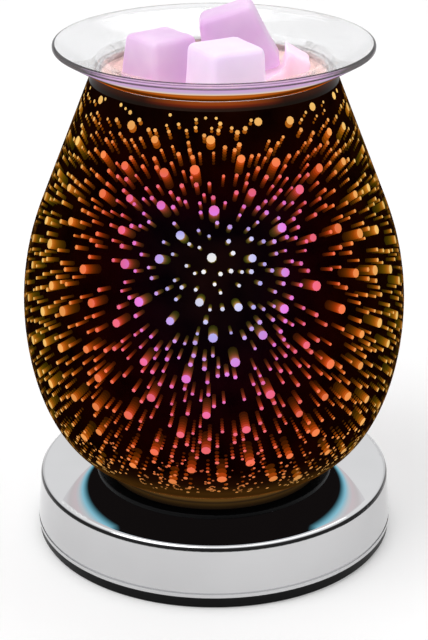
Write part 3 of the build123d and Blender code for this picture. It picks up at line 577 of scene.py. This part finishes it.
# Tint of the jar's coating from face-on to grazing, and its painted amber sheen patches
COAT_TINTS = [
    (0.000, (1.00, 1.00, 1.00)),
    (0.015, (0.75, 0.75, 1.00)),
    (0.034, (0.50, 0.46, 0.95)),
    (0.090, (0.85, 0.22, 0.80)),
    (0.150, (0.95, 0.15, 0.28)),
    (0.250, (0.98, 0.18, 0.08)),
    (0.380, (0.98, 0.32, 0.08)),
    (0.600, (1.00, 0.60, 0.17)),
    (0.950, (0.85, 0.50, 0.13)),
]
PAINTED_AMBER_SHEEN = [
    (0.42, (0.010, 0.004, 0.002)),
    (0.52, (0.070, 0.024, 0.004)),
    (0.66, (0.420, 0.150, 0.022)),
]
# Painted amber glow bands at the bowl's foot, from the neck up
FOOT_PAINTED_GLOW = [
    (0.00, (0.150, 0.050, 0.008)),
    (0.10, (0.050, 0.018, 0.004)),
    (0.20, (0.130, 0.042, 0.007)),
    (0.32, (0.060, 0.026, 0.004)),
    (0.45, (0.090, 0.038, 0.006)),
    (0.70, (0.030, 0.012, 0.003)),
]
# Painted reflection of the bowl's underside, shown only to rays mirrored off the chrome drum: dark near the
# neck, a cyan fringe, then the pale room
PAINTED_REFLECTION = [
    (0.15, (0.009, 0.007, 0.007)),
    (0.19, (0.10, 0.30, 0.38)),
    (0.25, (0.36, 0.80, 0.98)),
    (0.34, (0.80, 0.86, 0.90)),
    (0.43, (0.92, 0.80, 0.83)),
    (0.60, (0.86, 0.80, 0.81)),
    (0.80, (0.95, 0.93, 0.95)),
]
# Where the coating's looks begin and how much of them shows
UPPER_CURVE = 1.7
UPPER_TINT = 0.7
ROSY_SPAN = (50.0 * MM, 85.0 * MM)
ROSY_TURN = 0.7
AMBER_EDGE = 0.78
AMBER_SHARE = 0.7
FOOT_SHARE = 0.7
FOOT_WOBBLE = 1.5 * MM
PAINTED_REFLECTION_FADE = 10.0 * MM
PAINTED_REFLECTION_FACING = (0.18, 0.30)


def coat_finish():
    """The jar's coating: glass with a tint that turns with the angle, a painted amber sheen at its edge, a
    painted amber glow near its foot, and a painted reflection for mirrored rays.
    """
    finish = Finish("jar_coat", Specular_IOR_Level=0.1)
    finish.tinted(60.0, (0.020, 0.008, 0.003), (0.080, 0.030, 0.008))
    facing = finish.facing()
    through = finish.node("ShaderNodeBsdfRefraction", IOR=COAT_IOR, Roughness=0.0)
    upper = finish.raised(finish.height(UPPER_START, mouth_level), UPPER_CURVE)
    rosy = finish.spread(finish.height(*ROSY_SPAN), 0.0, 1.0, ROSY_TURN, 1.0)
    lower = finish.combined("MULTIPLY", facing, rosy)
    turn = finish.combined("MAXIMUM", lower, finish.spread(upper, 0.0, 1.0, 0.0, UPPER_TINT))
    finish.link(finish.ramp(turn, COAT_TINTS), through.inputs["Color"])
    # Painted amber sheen at the grazing edge
    edge = finish.spread(facing, AMBER_EDGE, 1.0, 0.0, AMBER_SHARE)
    painted_sheen = finish.glow(finish.ramp(finish.noise(260.0, detail=5.0), PAINTED_AMBER_SHEEN))
    seen = finish.mixed(edge, through.outputs["BSDF"], painted_sheen)
    # Painted amber glow bands near the foot
    foot = finish.spread(finish.height(FOOT_GLOW_TOP, neck_top), 0.0, 1.0, 0.0, FOOT_SHARE)
    glow_bands = finish.glow(finish.ramp(finish.height(neck_top, FOOT_GLOW_TOP, FOOT_WOBBLE), FOOT_PAINTED_GLOW))
    seen = finish.mixed(foot, seen, glow_bands)
    # Painted reflection: rays mirrored off the chrome see these colours instead of the coating
    low = finish.height(PAINTED_REFLECTION_TOP, PAINTED_REFLECTION_TOP - PAINTED_REFLECTION_FADE)
    glossy = finish.combined("MULTIPLY", finish.node("ShaderNodeLightPath").outputs["Is Glossy Ray"], low)
    rise = finish.height(neck_top, neck_top + PAINTED_REFLECTION_SPAN)
    grazing = finish.combined("MULTIPLY", rise, finish.spread(facing, *PAINTED_REFLECTION_FACING))
    seen = finish.mixed(glossy, seen, finish.glow(finish.ramp(grazing, PAINTED_REFLECTION)))
    side = finish.node("ShaderNodeNewGeometry").outputs["Backfacing"]
    finish.show(finish.mixed(side, seen, finish.shader.outputs["BSDF"]))
    return finish.material


def one_way_finish():
    """The inner face of the jar's wall: clear from the outside and a pale mirror coat from the chamber."""
    finish = Finish("jar_inner_face", Specular_IOR_Level=0.1)
    finish.tinted(60.0, (0.46, 0.40, 0.40), (0.58, 0.51, 0.51))
    finish.worn(90.0, 0.4, 0.6)
    through = finish.node("ShaderNodeBsdfTransparent", Color=(1.0, 1.0, 1.0, 1.0))
    side = finish.node("ShaderNodeNewGeometry").outputs["Backfacing"]
    finish.show(finish.mixed(side, finish.shader.outputs["BSDF"], through.outputs["BSDF"]))
    return finish.material


def ground_finish():
    """The ground, frosted top of the jar's mouth."""
    finish = Finish("jar_ground_lip")
    finish.tinted(200.0, (0.70, 0.68, 0.68), (0.80, 0.78, 0.78))
    finish.worn(300.0, 0.4, 0.6)
    finish.bumped(1500.0, 0.03 * MM)
    return finish.material


def trail_finish():
    """Light dots whose colour is stored along each trail."""
    finish = Finish("jar_light", Base_Color=(0.0, 0.0, 0.0, 1.0), Roughness=0.6, Emission_Strength=1.0)
    stored = finish.node("ShaderNodeVertexColor", {"layer_name": "glow"})
    finish.link(stored.outputs["Color"], finish.shader.inputs["Emission Color"])
    return finish.material


# Painted glow bands of the jar's neck and lip: where they start to dim, and how wavy they are
BAND_FACING = (0.02, 0.17)
BAND_WOBBLE = 0.3 * MM


def painted_band_finish(name, low, high, stops, dimmed):
    """Amber glass with a painted glow in bands that follow the height and dim to a share where the face turns
    away; mirrored rays see a painted dark reflection.
    """
    finish = Finish(name, Roughness=0.3, Specular_IOR_Level=0.05, Base_Color=(0.010, 0.006, 0.003, 1.0))
    glow_bands = finish.ramp(finish.height(low, high, BAND_WOBBLE), stops)
    finish.link(glow_bands, finish.shader.inputs["Emission Color"])
    strength = finish.spread(finish.facing(), *BAND_FACING, 1.0, dimmed)
    finish.link(strength, finish.shader.inputs["Emission Strength"])
    # Painted dark reflection for rays mirrored off the chrome
    painted_dark = finish.node("ShaderNodeEmission", Color=(*PAINTED_REFLECTION[0][1], 1.0))
    glossy = finish.node("ShaderNodeLightPath").outputs["Is Glossy Ray"]
    finish.show(finish.mixed(glossy, finish.shader.outputs["BSDF"], painted_dark.outputs["Emission"]))
    return finish.material


# Painted glow bands of the neck from its foot and of the lip from below, with how far they dim towards the
# sides
NECK_PAINTED_GLOW = [
    (0.00, (0.003, 0.003, 0.003)),
    (0.14, (0.020, 0.010, 0.003)),
    (0.24, (0.060, 0.030, 0.006)),
    (0.30, (0.020, 0.010, 0.003)),
    (0.38, (0.150, 0.070, 0.010)),
    (0.46, (0.120, 0.050, 0.008)),
    (0.50, (0.030, 0.012, 0.003)),
    (0.57, (0.170, 0.050, 0.008)),
    (0.66, (0.110, 0.034, 0.006)),
]
NECK_BAND_RISE = 3.5 * MM
NECK_DIMMED = 0.6
LIP_DIMMED = 0.1
LIP_PAINTED_GLOW = [
    (0.00, (0.006, 0.003, 0.002)),
    (0.30, (0.016, 0.004, 0.002)),
    (0.45, (0.100, 0.009, 0.001)),
    (0.56, (0.150, 0.012, 0.001)),
    (0.66, (0.240, 0.036, 0.002)),
    (1.00, (0.300, 0.056, 0.003)),
]


def wax_finish(name, low, high, glow):
    """Cloudy wax: light spreads inside it, its colour drifts, and it gives off a painted glow."""
    finish = Finish(
        name,
        Subsurface_Weight=0.75,
        Subsurface_Radius=(1.0, 0.6, 0.9),
        Subsurface_Scale=7.0 * MM,
        # Painted glow in the wax's own lighter colour
        Emission_Strength=glow,
        Emission_Color=(*high, 1.0),
    )
    finish.tinted(70.0, low, high, detail=2.0)
    finish.worn(180.0, 0.38, 0.55)
    finish.bumped(420.0, 0.05 * MM, strength=0.35)
    return finish.material


FINE = 0.01 * MM
PLAIN_LOOKS = {
    "black_plastic": {"roughness": 0.35, "tone": 0.1, "gloss": 0.1},
    "black_rubber": {"roughness": 0.42, "relief": 0.03 * MM, "tone": 0.1, "gloss": 0.1},
    "steel": {"roughness": 0.28, "metallic": 1.0, "grain": 1800.0, "relief": FINE},
    "ceramic": {"roughness": 0.45, "grain": 700.0, "relief": 0.04 * MM},
    "brass": {"roughness": 0.25, "metallic": 1.0, "grain": 1500.0, "relief": FINE},
    "grey_plastic": {"roughness": 0.45, "grain": 1400.0},
    "foam": {"roughness": 0.9, "grain": 600.0, "relief": 0.2 * MM},
    "board_green": {"roughness": 0.3, "grain": 800.0},
    "component_black": {"roughness": 0.35},
    "component_yellow": {"roughness": 0.35},
    "white_plastic": {"roughness": 0.4},
    "wire_brown": {"roughness": 0.35, "grain": 900.0, "relief": FINE},
    "wire_blue": {"roughness": 0.35, "grain": 900.0, "relief": FINE},
    "wire_white": {"roughness": 0.35, "grain": 900.0, "relief": FINE},
    "wire_black": {"roughness": 0.35, "grain": 900.0, "relief": FINE},
}
# Wax: its darker and lighter colour, and the strength of its painted glow
WAX_LOOKS = {
    "wax_lilac": ((0.56, 0.34, 0.58), (0.64, 0.47, 0.65), 0.24),
    "wax_pale": ((0.60, 0.49, 0.65), (0.66, 0.56, 0.71), 0.42),
    "wax_pink": ((0.66, 0.47, 0.58), (0.72, 0.56, 0.66), 0.42),
}
DISH_TINT = (0.80, 0.80, 0.81)

slot_colours = {row["slot"]: row["base_color"] for row in frame["record"]["materials"]}
finishes = {slot: plain_finish(slot, slot_colours[slot], **look) for slot, look in PLAIN_LOOKS.items()}
finishes["chrome"] = chrome_finish()
finishes["clear_glass"] = glass_finish("clear_glass", DISH_TINT)
for slot, look in WAX_LOOKS.items():
    finishes[slot] = wax_finish(slot, *look)


def reflector_finish():
    """The lamp's metallic coat, warm where the light shows through."""
    finish = Finish("reflector_glass", Metallic=1.0)
    finish.tinted(120.0, (0.62, 0.56, 0.50), (0.82, 0.78, 0.74))
    finish.worn(300.0, 0.16, 0.3)
    finish.bumped(500.0, 0.05 * MM)
    return finish.material


finishes["reflector_glass"] = reflector_finish()


def lamp_glass_finish():
    """The lit front glass of the lamp."""
    finish = Finish("lamp_glass", Roughness=0.2, Base_Color=(0.9, 0.8, 0.65, 1.0), Emission_Strength=5.0)
    glow = finish.ramp(finish.noise(260.0), [(0.3, (1.0, 0.62, 0.30)), (0.7, (1.0, 0.80, 0.52))])
    finish.link(glow, finish.shader.inputs["Emission Color"])
    return finish.material


lamp_glass = lamp_glass_finish()

for row in frame["record"]["subparts"]:
    finish = finishes.get(row["material_slot"])
    if finish is None:
        continue
    mesh = nodes[row["node"]].data
    mesh.materials.clear()
    mesh.materials.append(finish)
for name in ("lamp_lens", "lamp_capsule"):
    nodes[name].data.materials.clear()
    nodes[name].data.materials.append(lamp_glass)

# Jar shell: neck, bowl, upper arc and cone, with a rounded foot, shoulder and lip
SHELL_STEP = 2.2 * MM
LEVEL_CURVE = 1.35


def wall_levels(low, high):
    """Evenly spaced levels from low to high, closer where the bowl lies flat."""
    count = int((high - low) / SHELL_STEP) + 1
    return [low + (high - low) * (step / count) ** LEVEL_CURVE for step in range(count + 1)]


bowl_start = neck_top + BOWL_START
lip_start = mouth_level - LIP_HEIGHT
foot_corners = [
    (NECK_RADIUS - NECK_WALL, neck_top, 0),
    (NECK_RADIUS - NECK_WALL, jar_foot, GLASS_ROUND),
    (NECK_RADIUS, jar_foot, GLASS_ROUND),
    (NECK_RADIUS, neck_top, NECK_ROUND),
    (outer_radius(bowl_start), bowl_start, 0),
]
lip_corners = [
    (outer_radius(lip_start), lip_start, 0),
    (MOUTH_RADIUS, mouth_level, GLASS_ROUND),
    (MOUTH_RADIUS - MOUTH_WALL, mouth_level, GLASS_ROUND),
    (inner_radius(lip_start), lip_start, 0),
]
outer_levels = wall_levels(bowl_start, lip_start)
inner_levels = wall_levels(neck_top + BELLY_WALL, lip_start)
shell_outline = rounded(foot_corners)
shell_outline += [Vector((outer_radius(level), level)) for level in outer_levels[1:-1]]
shell_outline += rounded(lip_corners)
shell_outline += [Vector((inner_radius(level), level)) for level in reversed(inner_levels[:-1])]

jar_materials = (
    coat_finish(),
    one_way_finish(),
    painted_band_finish("jar_neck", jar_foot, neck_top + NECK_BAND_RISE, NECK_PAINTED_GLOW, NECK_DIMMED),
    painted_band_finish("jar_lip", lip_start, mouth_level, LIP_PAINTED_GLOW, LIP_DIMMED),
    ground_finish(),
)
COAT, INNER_FACE, NECK, LIP, GROUND = range(5)
jar_shell = new_piece("jar_shell", *revolved(shell_outline), "jar", "coated_glass", *jar_materials)
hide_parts("glass_jar")


def shell_finish(radius, level):
    """Which of the jar's finishes a face at this radius and level has."""
    if level < neck_top:
        return NECK
    if level > mouth_level - GLASS_ROUND / 2:
        return GROUND
    if radius < (outer_radius(level) + inner_radius(level)) / 2:
        return INNER_FACE
    if level > lip_start:
        return LIP
    return COAT


for face in jar_shell.data.polygons:
    face.material_index = shell_finish(hypot(face.center.x, face.center.y), face.center.z)
sharpen(jar_shell)

# Liner: a dark sheet that stands for shade inside the jar towards the trails, with a painted warm glow
# towards the lamp
liner_levels = wall_levels(LINER_FOOT, LINER_TOP)
liner_outline = [Vector((liner_radius(level), level)) for level in liner_levels]
liner_outline += [Vector((liner_radius(level) - LINER_WALL, level)) for level in reversed(liner_levels)]


def liner_finishes():
    """A dark sheet for shade outside with a faint painted ember glow, and a warm mirror with a painted glow
    inside.
    """
    # Dark sheet standing for shade, with a faint painted ember glow
    painted_dark = Finish("liner_painted_shade", Specular_IOR_Level=0.1, Emission_Strength=1.0)
    painted_dark.tinted(40.0, (0.004, 0.002, 0.006), (0.010, 0.004, 0.004))
    painted_dark.worn(60.0, 0.4, 0.6)
    painted_ember = painted_dark.ramp(painted_dark.noise(90.0), [(0.3, (0.002, 0.0006, 0.0010)), (0.7, (0.008, 0.0022, 0.0020))])
    painted_dark.link(painted_ember, painted_dark.shader.inputs["Emission Color"])
    # Painted warm glow on the side towards the lamp
    painted_glow_side = Finish("liner_painted_glow", Metallic=0.6, Emission_Strength=0.4)
    painted_glow_side.tinted(50.0, (0.80, 0.66, 0.62), (0.92, 0.80, 0.78))
    painted_glow_side.worn(80.0, 0.25, 0.4)
    glow = painted_glow_side.ramp(painted_glow_side.noise(30.0), [(0.3, (0.90, 0.70, 0.68)), (0.7, (1.0, 0.84, 0.84))])
    painted_glow_side.link(glow, painted_glow_side.shader.inputs["Emission Color"])
    return painted_dark.material, painted_glow_side.material


jar_shade_liner = new_piece("jar_shade_liner", *revolved(liner_outline), "jar", "coated_glass", *liner_finishes())
for face in jar_shade_liner.data.polygons:
    radius = hypot(face.center.x, face.center.y)
    face.material_index = 0 if radius > liner_radius(face.center.z) - LINER_WALL / 2 else 1
sharpen(jar_shade_liner)


# Light trails: each dot on the wall and its fading images behind it, drawn towards the burst
def wall_point(level, angle):
    """Point on the jar's outer face and the unit normal there."""
    radius = outer_radius(level)
    step = 0.05 * MM
    slope = (outer_radius(level + step) - outer_radius(level - step)) / (2 * step)
    normal = Vector((cos(angle), sin(angle), -slope)).normalized()
    return Vector((radius * cos(angle), radius * sin(angle), level)), normal


def scattered_dots(random):
    """Dots over the wall, closer near the mouth, as (point, normal, radius, fade per millimetre)."""
    spots = []
    while len(spots) < DOT_COUNT:
        level = random.uniform(DOT_LOWEST, DOT_HIGHEST)
        upper = max(0.0, level - UPPER_START) / (mouth_level - UPPER_START)
        if upper == 0 and random.random() > outer_radius(level) / belly_radius:
            continue
        point, normal = wall_point(level, random.uniform(0, 2 * pi))
        spacing = DOT_SPACING * (1 - CROWDING * len(spots) / DOT_COUNT) * (1 - UPPER_CROWDING * upper)
        if all((point - other).length > spacing for other, _ in spots):
            spots.append((point, normal))
    large = []
    dots = []
    for point, normal in spots:
        roomy = all((point - other).length > LARGE_SPACING for other in large)
        if roomy and len(large) < LARGE_SHARE * DOT_COUNT:
            large.append(point)
            dots.append((point, normal, random.uniform(*LARGE_RADII), LARGE_FADE))
        else:
            dots.append((point, normal, random.uniform(*SMALL_RADII), SMALL_FADE))
    return dots


TRAIL_COLOURS = [
    (0.0 * MM, (1.00, 1.00, 1.00)),
    (1.0 * MM, (1.05, 0.62, 0.22)),
    (3.0 * MM, (1.05, 0.60, 0.08)),
    (6.0 * MM, (0.90, 0.80, 0.06)),
    (12.0 * MM, (0.70, 0.95, 0.06)),
]


def along_stops(value, stops):
    """Colour at a value between (value, colour) stops."""
    for (low, first), (high, second) in zip(stops, stops[1:]):
        if value < high:
            share = max(0.0, (value - low) / (high - low))
            return Vector(first).lerp(Vector(second), share)
    return Vector(stops[-1][1])


def bead_step(level):
    """Distance between the images of a dot: wider apart towards the mouth and the foot."""
    if level > BURST_LEVEL:
        return (IMAGE_STEP + MOUTH_STEP * ((level - BURST_LEVEL) / MOUTH_SPAN) ** 2) * MM
    return (IMAGE_STEP + FOOT_STEP * ((BURST_LEVEL - level) / FOOT_SPAN) ** 2) * MM


def add_bead(vertices, faces, place, normal, radius, sides):
    """A flat closed lens in the plane of the wall."""
    across = normal.orthogonal().normalized()
    along = normal.cross(across)
    start = len(vertices)
    for side in range(sides):
        angle = 2 * pi * side / sides
        vertices.append(place + (across * cos(angle) + along * sin(angle)) * radius)
    front = len(vertices)
    vertices.append(place + normal * BEAD_THICKNESS / 2)
    vertices.append(place - normal * BEAD_THICKNESS / 2)
    for side in range(sides):
        after = start + (side + 1) % sides
        faces.append((start + side, after, front))
        faces.append((after, start + side, front + 1))


def light_trails():
    """Vertices, faces and corner colours of all beads."""
    random = Random(TRAIL_SEED)
    vertices = []
    faces = []
    colours = []
    for point, normal, radius, fade in scattered_dots(random):
        sides = LARGE_SIDES if fade == LARGE_FADE else SMALL_SIDES
        step = bead_step(point.z)
        upper = max(0.0, point.z - UPPER_START) / (mouth_level - UPPER_START)
        burst = Vector((0, 0, BURST_LEVEL - UPPER_BURST_DROP * upper))
        head = random.uniform(*HEAD_LIGHT)
        place = point - normal * HEAD_DEPTH
        behind = 0.0
        light = 1.0
        while light > DIMMEST and hypot(place.x, place.y) > liner_radius(place.z) + radius:
            add_bead(vertices, faces, place, normal, radius, sides)
            glow = along_stops(behind, TRAIL_COLOURS) * head * light
            colours += ([(*glow, 1.0)] * 3 + [BEAD_BACK] * 3) * sides
            pull = min(1.0, PULL_START + behind / PULL_SPAN + UPPER_PULL * upper)
            heading = (-normal).lerp((burst - place).normalized(), pull).normalized()
            place = place + heading * step
            behind += step
            light = IMAGE_LOSS * fade ** (behind / MM)
    return vertices, faces, colours


def foot_sparkle(vertices, faces, colours):
    """Adds the flecks and small open rings of light round the bottom of the bowl."""
    random = Random(TRAIL_SEED)
    spots = []
    for _ in range(FLECK_COUNT):
        level = random.triangular(FLECK_LOWEST, FLECK_HIGHEST, FLECK_LOWEST)
        point, normal = wall_point(level, random.uniform(0, 2 * pi))
        spots.append((point, normal, random.uniform(*FLECK_RADII)))
    for index in range(RING_COUNT):
        angle = 2 * pi * (index + random.uniform(*RING_JITTER)) / RING_COUNT
        gap = random.uniform(*RING_GAP)
        for step in range(RING_BEADS):
            turn = gap + RING_SWEEP * (step / (RING_BEADS - 1) - 0.5) + pi
            level = RING_LEVEL + RING_HEIGHT * sin(turn)
            shift = RING_WIDTH * cos(turn) / outer_radius(level)
            spots.append((*wall_point(level, angle + shift), RING_BEAD_RADIUS))
    for point, normal, radius in spots:
        add_bead(vertices, faces, point - normal * HEAD_DEPTH, normal, radius, FLECK_SIDES)
        glow = random.uniform(*FLECK_LIGHT)
        colours += ([(glow, glow, glow, 1.0)] * 3 + [BEAD_BACK] * 3) * FLECK_SIDES


trail_vertices, trail_faces, trail_colours = light_trails()
foot_sparkle(trail_vertices, trail_faces, trail_colours)
jar_trails = new_piece("jar_trails", trail_vertices, trail_faces, "jar", "coated_glass", trail_finish())
trail_light = jar_trails.data.color_attributes.new("glow", "FLOAT_COLOR", "CORNER")
trail_light.data.foreach_set("color", [part for colour in trail_colours for part in colour])

# Dish: a flat-bottomed well and a flared rim
dish_low, dish_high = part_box("wax_dish")
rim_level = dish_high.z
dish_radius = dish_high.x
well_radius = MOUTH_RADIUS - MOUTH_WALL - DISH_CLEARANCE
well_floor = mouth_level - WELL_DEPTH
well_inner = well_radius - DISH_GLASS
dish_outline = rounded(
    [
        (0, dish_low.z, 0),
        (well_radius - WELL_DRAFT, dish_low.z, WELL_ROUND),
        (well_radius, mouth_level, 0),
        (well_radius + SEAT_WIDTH, mouth_level, 0),
        (dish_radius, rim_level - DISH_RIM_GLASS, DISH_RIM_ROUND),
        (dish_radius, rim_level, DISH_RIM_ROUND),
        (well_inner, rim_level - DISH_FLANGE_DROP, WELL_ROUND),
        (well_inner - WELL_DRAFT, well_floor, WELL_ROUND),
        (0, well_floor, 0),
    ],
    steps=8,
)
dish_materials = (finishes["clear_glass"], seat_finish(DISH_TINT), rim_finish(DISH_TINT))
CLEAR, SEAT, RIM = range(3)
dish_glass = new_piece("dish_glass", *revolved(dish_outline), "dish", "clear_glass", *dish_materials)
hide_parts("wax_dish")


def dish_finish(face):
    """Which of the dish's finishes a face has."""
    if hypot(face.center.x, face.center.y) > dish_radius - DISH_RIM_ROUND:
        return RIM
    if mouth_level < face.center.z < rim_level - DISH_RIM_GLASS and face.normal.z < 0:
        return SEAT
    return CLEAR


for face in dish_glass.data.polygons:
    face.material_index = dish_finish(face)
sharpen(dish_glass)


# Wax melts: soft edges and shallow dents, inside the solids they stand for
def soft_wax(name, node, first, last, rounding, slot):
    """A wax piece between two end outlines, rounded, divided and dented inwards."""
    build = bmesh.new()
    count = len(first)
    near = [build.verts.new(corner) for corner in first]
    far = [build.verts.new(corner) for corner in last]
    build.faces.new(reversed(near))
    build.faces.new(far)
    for index in range(count):
        after = (index + 1) % count
        build.faces.new((near[index], near[after], far[after], far[index]))
    edges = build.edges[:]
    bmesh.ops.bevel(
        build, geom=edges, offset=rounding, segments=4, profile=0.5, affect="EDGES", clamp_overlap=True
    )
    bmesh.ops.subdivide_edges(build, edges=build.edges[:], cuts=2, use_grid_fill=True)
    bmesh.ops.recalc_face_normals(build, faces=build.faces[:])
    build.normal_update()
    for vertex in build.verts:
        dent = noise.noise(vertex.co / DENT_SPAN) + PIT_SHARE * noise.noise(vertex.co / PIT_SPAN)
        vertex.co -= vertex.normal * WAX_DENT * max(0.0, DENT_BASE + DENT_SWING * dent)
    mesh = bpy.data.meshes.new(name)
    build.to_mesh(mesh)
    build.free()
    mesh.shade_smooth()
    mesh.materials.append(finishes[slot])
    piece = bpy.data.objects.new(name, mesh)
    bpy.context.scene.collection.objects.link(piece)
    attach(piece, "wax")
    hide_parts(node)


def block_end(size, level, place):
    """Four corners of a block's end at a level above its placement."""
    width, depth = size
    corners = ((-1, -1), (1, -1), (1, 1), (-1, 1))
    return [place @ Vector((x * width / 2, y * depth / 2, level)) for x, y in corners]


wax_floor = well_floor + WAX_CLEARANCE
left_place = Matrix.Translation((*LEFT_SPOT, wax_floor)) @ Matrix.Rotation(LEFT_TURN, 4, "Z")
front_place = Matrix.Translation((*FRONT_SPOT, wax_floor)) @ Matrix.Rotation(FRONT_TURN, 4, "Z")
back_toe = Vector((*BACK_SPOT, wax_floor))
back_middle = back_toe + Vector((cos(BACK_TILT), 0, sin(BACK_TILT))) * BACK_BOTTOM[0] / 2
back_place = Matrix.Translation(back_middle) @ Matrix.Rotation(-BACK_TILT, 4, "Y")

for name, bottom, top, height, place, slot in (
    ("left", LEFT_BOTTOM, LEFT_TOP, LEFT_HEIGHT, left_place, "wax_lilac"),
    ("front", FRONT_BOTTOM, FRONT_TOP, FRONT_HEIGHT, front_place, "wax_pale"),
    ("back", BACK_BOTTOM, BACK_TOP, BACK_HEIGHT, back_place, "wax_lilac"),
):
    foot = block_end(bottom, 0.0, place)
    head = block_end(top, height, place)
    soft_wax("wax_" + name, "wax_melt_" + name, foot, head, WAX_ROUND, slot)

lean_end = back_toe.x + BACK_BOTTOM[0] * cos(BACK_TILT) + WAX_CLEARANCE
toe_drop = WAX_CLEARANCE / cos(BACK_TILT)
lump_profile = (
    (LUMP_LEFT, 0),
    (LUMP_RIGHT, 0),
    (LUMP_RIGHT + LUMP_LEAN, LUMP_END),
    (lean_end, LUMP_CREST),
    (lean_end, (lean_end - back_toe.x) * tan(BACK_TILT) - toe_drop),
    (LUMP_LEFT, (LUMP_LEFT - back_toe.x) * tan(BACK_TILT) - toe_drop),
)
lump_front = [Vector((x, LUMP_FRONT, wax_floor + z)) for x, z in lump_profile]
lump_back = [Vector((x, LUMP_FRONT + LUMP_WIDTH, wax_floor + z)) for x, z in lump_profile]
soft_wax("wax_right", "wax_melt_right", lump_front, lump_back, LUMP_ROUND, "wax_pink")

# Floor, light and camera
floor_mesh = bpy.data.meshes.new("floor")
half = FLOOR_SIZE / 2
floor_corners = [(-half, -half, 0), (half, -half, 0), (half, half, 0), (-half, half, 0)]
floor_mesh.from_pydata(floor_corners, [], [range(4)])
floor = bpy.data.objects.new("floor", floor_mesh)
bpy.context.scene.collection.objects.link(floor)
floor.location.z = cad_box[0].z

FLOOR_LIFT = 0.22


def floor_finish():
    """Pale floor that shows as white around the object and keeps its shadow."""
    finish = Finish("floor", Roughness=0.9, Specular_IOR_Level=0.0, Base_Color=(0.80, 0.80, 0.80, 1.0))
    light = finish.node("ShaderNodeLightPath")
    seen = finish.node("ShaderNodeMath", {"operation": "ADD"})
    finish.link(light.outputs["Is Camera Ray"], seen.inputs[0])
    finish.link(light.outputs["Is Glossy Ray"], seen.inputs[1])
    seen_all = finish.node("ShaderNodeMath", {"operation": "ADD", "use_clamp": True})
    finish.link(seen.outputs["Value"], seen_all.inputs[0])
    finish.link(light.outputs["Is Transmission Ray"], seen_all.inputs[1])
    lift = finish.node("ShaderNodeMath", {"operation": "MULTIPLY"})
    lift.inputs[1].default_value = FLOOR_LIFT
    finish.link(seen_all.outputs["Value"], lift.inputs[0])
    finish.shader.inputs["Emission Color"].default_value = (1.0, 1.0, 1.0, 1.0)
    finish.link(lift.outputs["Value"], finish.shader.inputs["Emission Strength"])
    return finish.material


floor_mesh.materials.append(floor_finish())

WORLD_LIGHT = 0.72
SKY_STOPS = [
    (0.00, (0.70, 0.70, 0.71)),
    (0.50, (0.82, 0.82, 0.83)),
    (0.62, (0.96, 0.96, 0.97)),
    (1.00, (1.00, 1.00, 1.00)),
]
# What polished metal and glass mirror: pale walls and a bright ceiling
ROOM_STOPS = [
    (0.50, (1.15, 1.15, 1.16)),
    (0.62, (1.20, 1.20, 1.21)),
    (0.68, (1.50, 1.50, 1.51)),
    (0.85, (1.60, 1.60, 1.60)),
    (1.00, (2.60, 2.60, 2.60)),
]
SEEN_THROUGH = (1.18, 1.18, 1.18)
SEEN_BEYOND = (1.14, 1.14, 1.14)


def studio_world():
    """Even pale surroundings; polished surfaces mirror the room, and glass shows white behind it."""
    world = bpy.data.worlds.new("studio")
    bpy.context.scene.world = world
    world.use_nodes = True
    tree = world.node_tree
    background = tree.nodes["Background"]
    background.inputs["Strength"].default_value = WORLD_LIGHT
    place = tree.nodes.new("ShaderNodeTexCoord")
    split = tree.nodes.new("ShaderNodeSeparateXYZ")
    tree.links.new(place.outputs["Generated"], split.inputs["Vector"])
    height = tree.nodes.new("ShaderNodeMapRange")
    height.inputs["From Min"].default_value = -1.0
    tree.links.new(split.outputs["Z"], height.inputs["Value"])
    light = tree.nodes.new("ShaderNodeLightPath")

    def ramp(stops):
        """Colours by height, from straight down to straight up."""
        made = tree.nodes.new("ShaderNodeValToRGB")
        set_stops(made.color_ramp, stops)
        tree.links.new(height.outputs["Result"], made.inputs["Fac"])
        return made.outputs["Color"]

    def switched(ray, first):
        """A mix that gives way to its second colour for one kind of ray."""
        made = tree.nodes.new("ShaderNodeMix")
        made.data_type = "RGBA"
        tree.links.new(light.outputs[ray], made.inputs["Factor"])
        tree.links.new(first, made.inputs["A"])
        return made

    mirrored = switched("Is Glossy Ray", ramp(SKY_STOPS))
    tree.links.new(ramp(ROOM_STOPS), mirrored.inputs["B"])
    through = switched("Is Transmission Ray", mirrored.outputs["Result"])
    through.inputs["B"].default_value = (*SEEN_THROUGH, 1.0)
    beyond = switched("Is Camera Ray", through.outputs["Result"])
    beyond.inputs["B"].default_value = (*SEEN_BEYOND, 1.0)
    tree.links.new(beyond.outputs["Result"], background.inputs["Color"])


# Lamps: place and size in metres, power in watts
SOFTBOXES = {
    "key": ((-0.7, -0.5, 1.3), 1.0, 9.0),
    "top": ((0.3, 0.5, 1.5), 1.2, 4.5),
}


def softbox(name, place, size, power):
    """A square area lamp aimed at the middle of the object."""
    lamp = bpy.data.lights.new(name, "AREA")
    lamp.size = size
    lamp.energy = power
    holder = bpy.data.objects.new(name, lamp)
    holder.location = place
    aim = (cad_box[0] + cad_box[1]) / 2 - Vector(place)
    holder.rotation_euler = aim.to_track_quat("-Z", "Y").to_euler()
    bpy.context.scene.collection.objects.link(holder)


studio_world()
for name, lamp in SOFTBOXES.items():
    softbox(name, *lamp)

camera = bpy.data.cameras.new("camera")
camera.sensor_width = SENSOR
camera.lens = FOCAL_PIXELS * SENSOR / IMAGE_HEIGHT
camera_object = bpy.data.objects.new("camera", camera)
camera_object.location = CAMERA_PLACE
camera_object.rotation_euler = (radians(CAMERA_PITCH), 0, 0)
bpy.context.scene.collection.objects.link(camera_object)
bpy.context.scene.camera = camera_object
bpy.context.scene.view_settings.view_transform = "Standard"
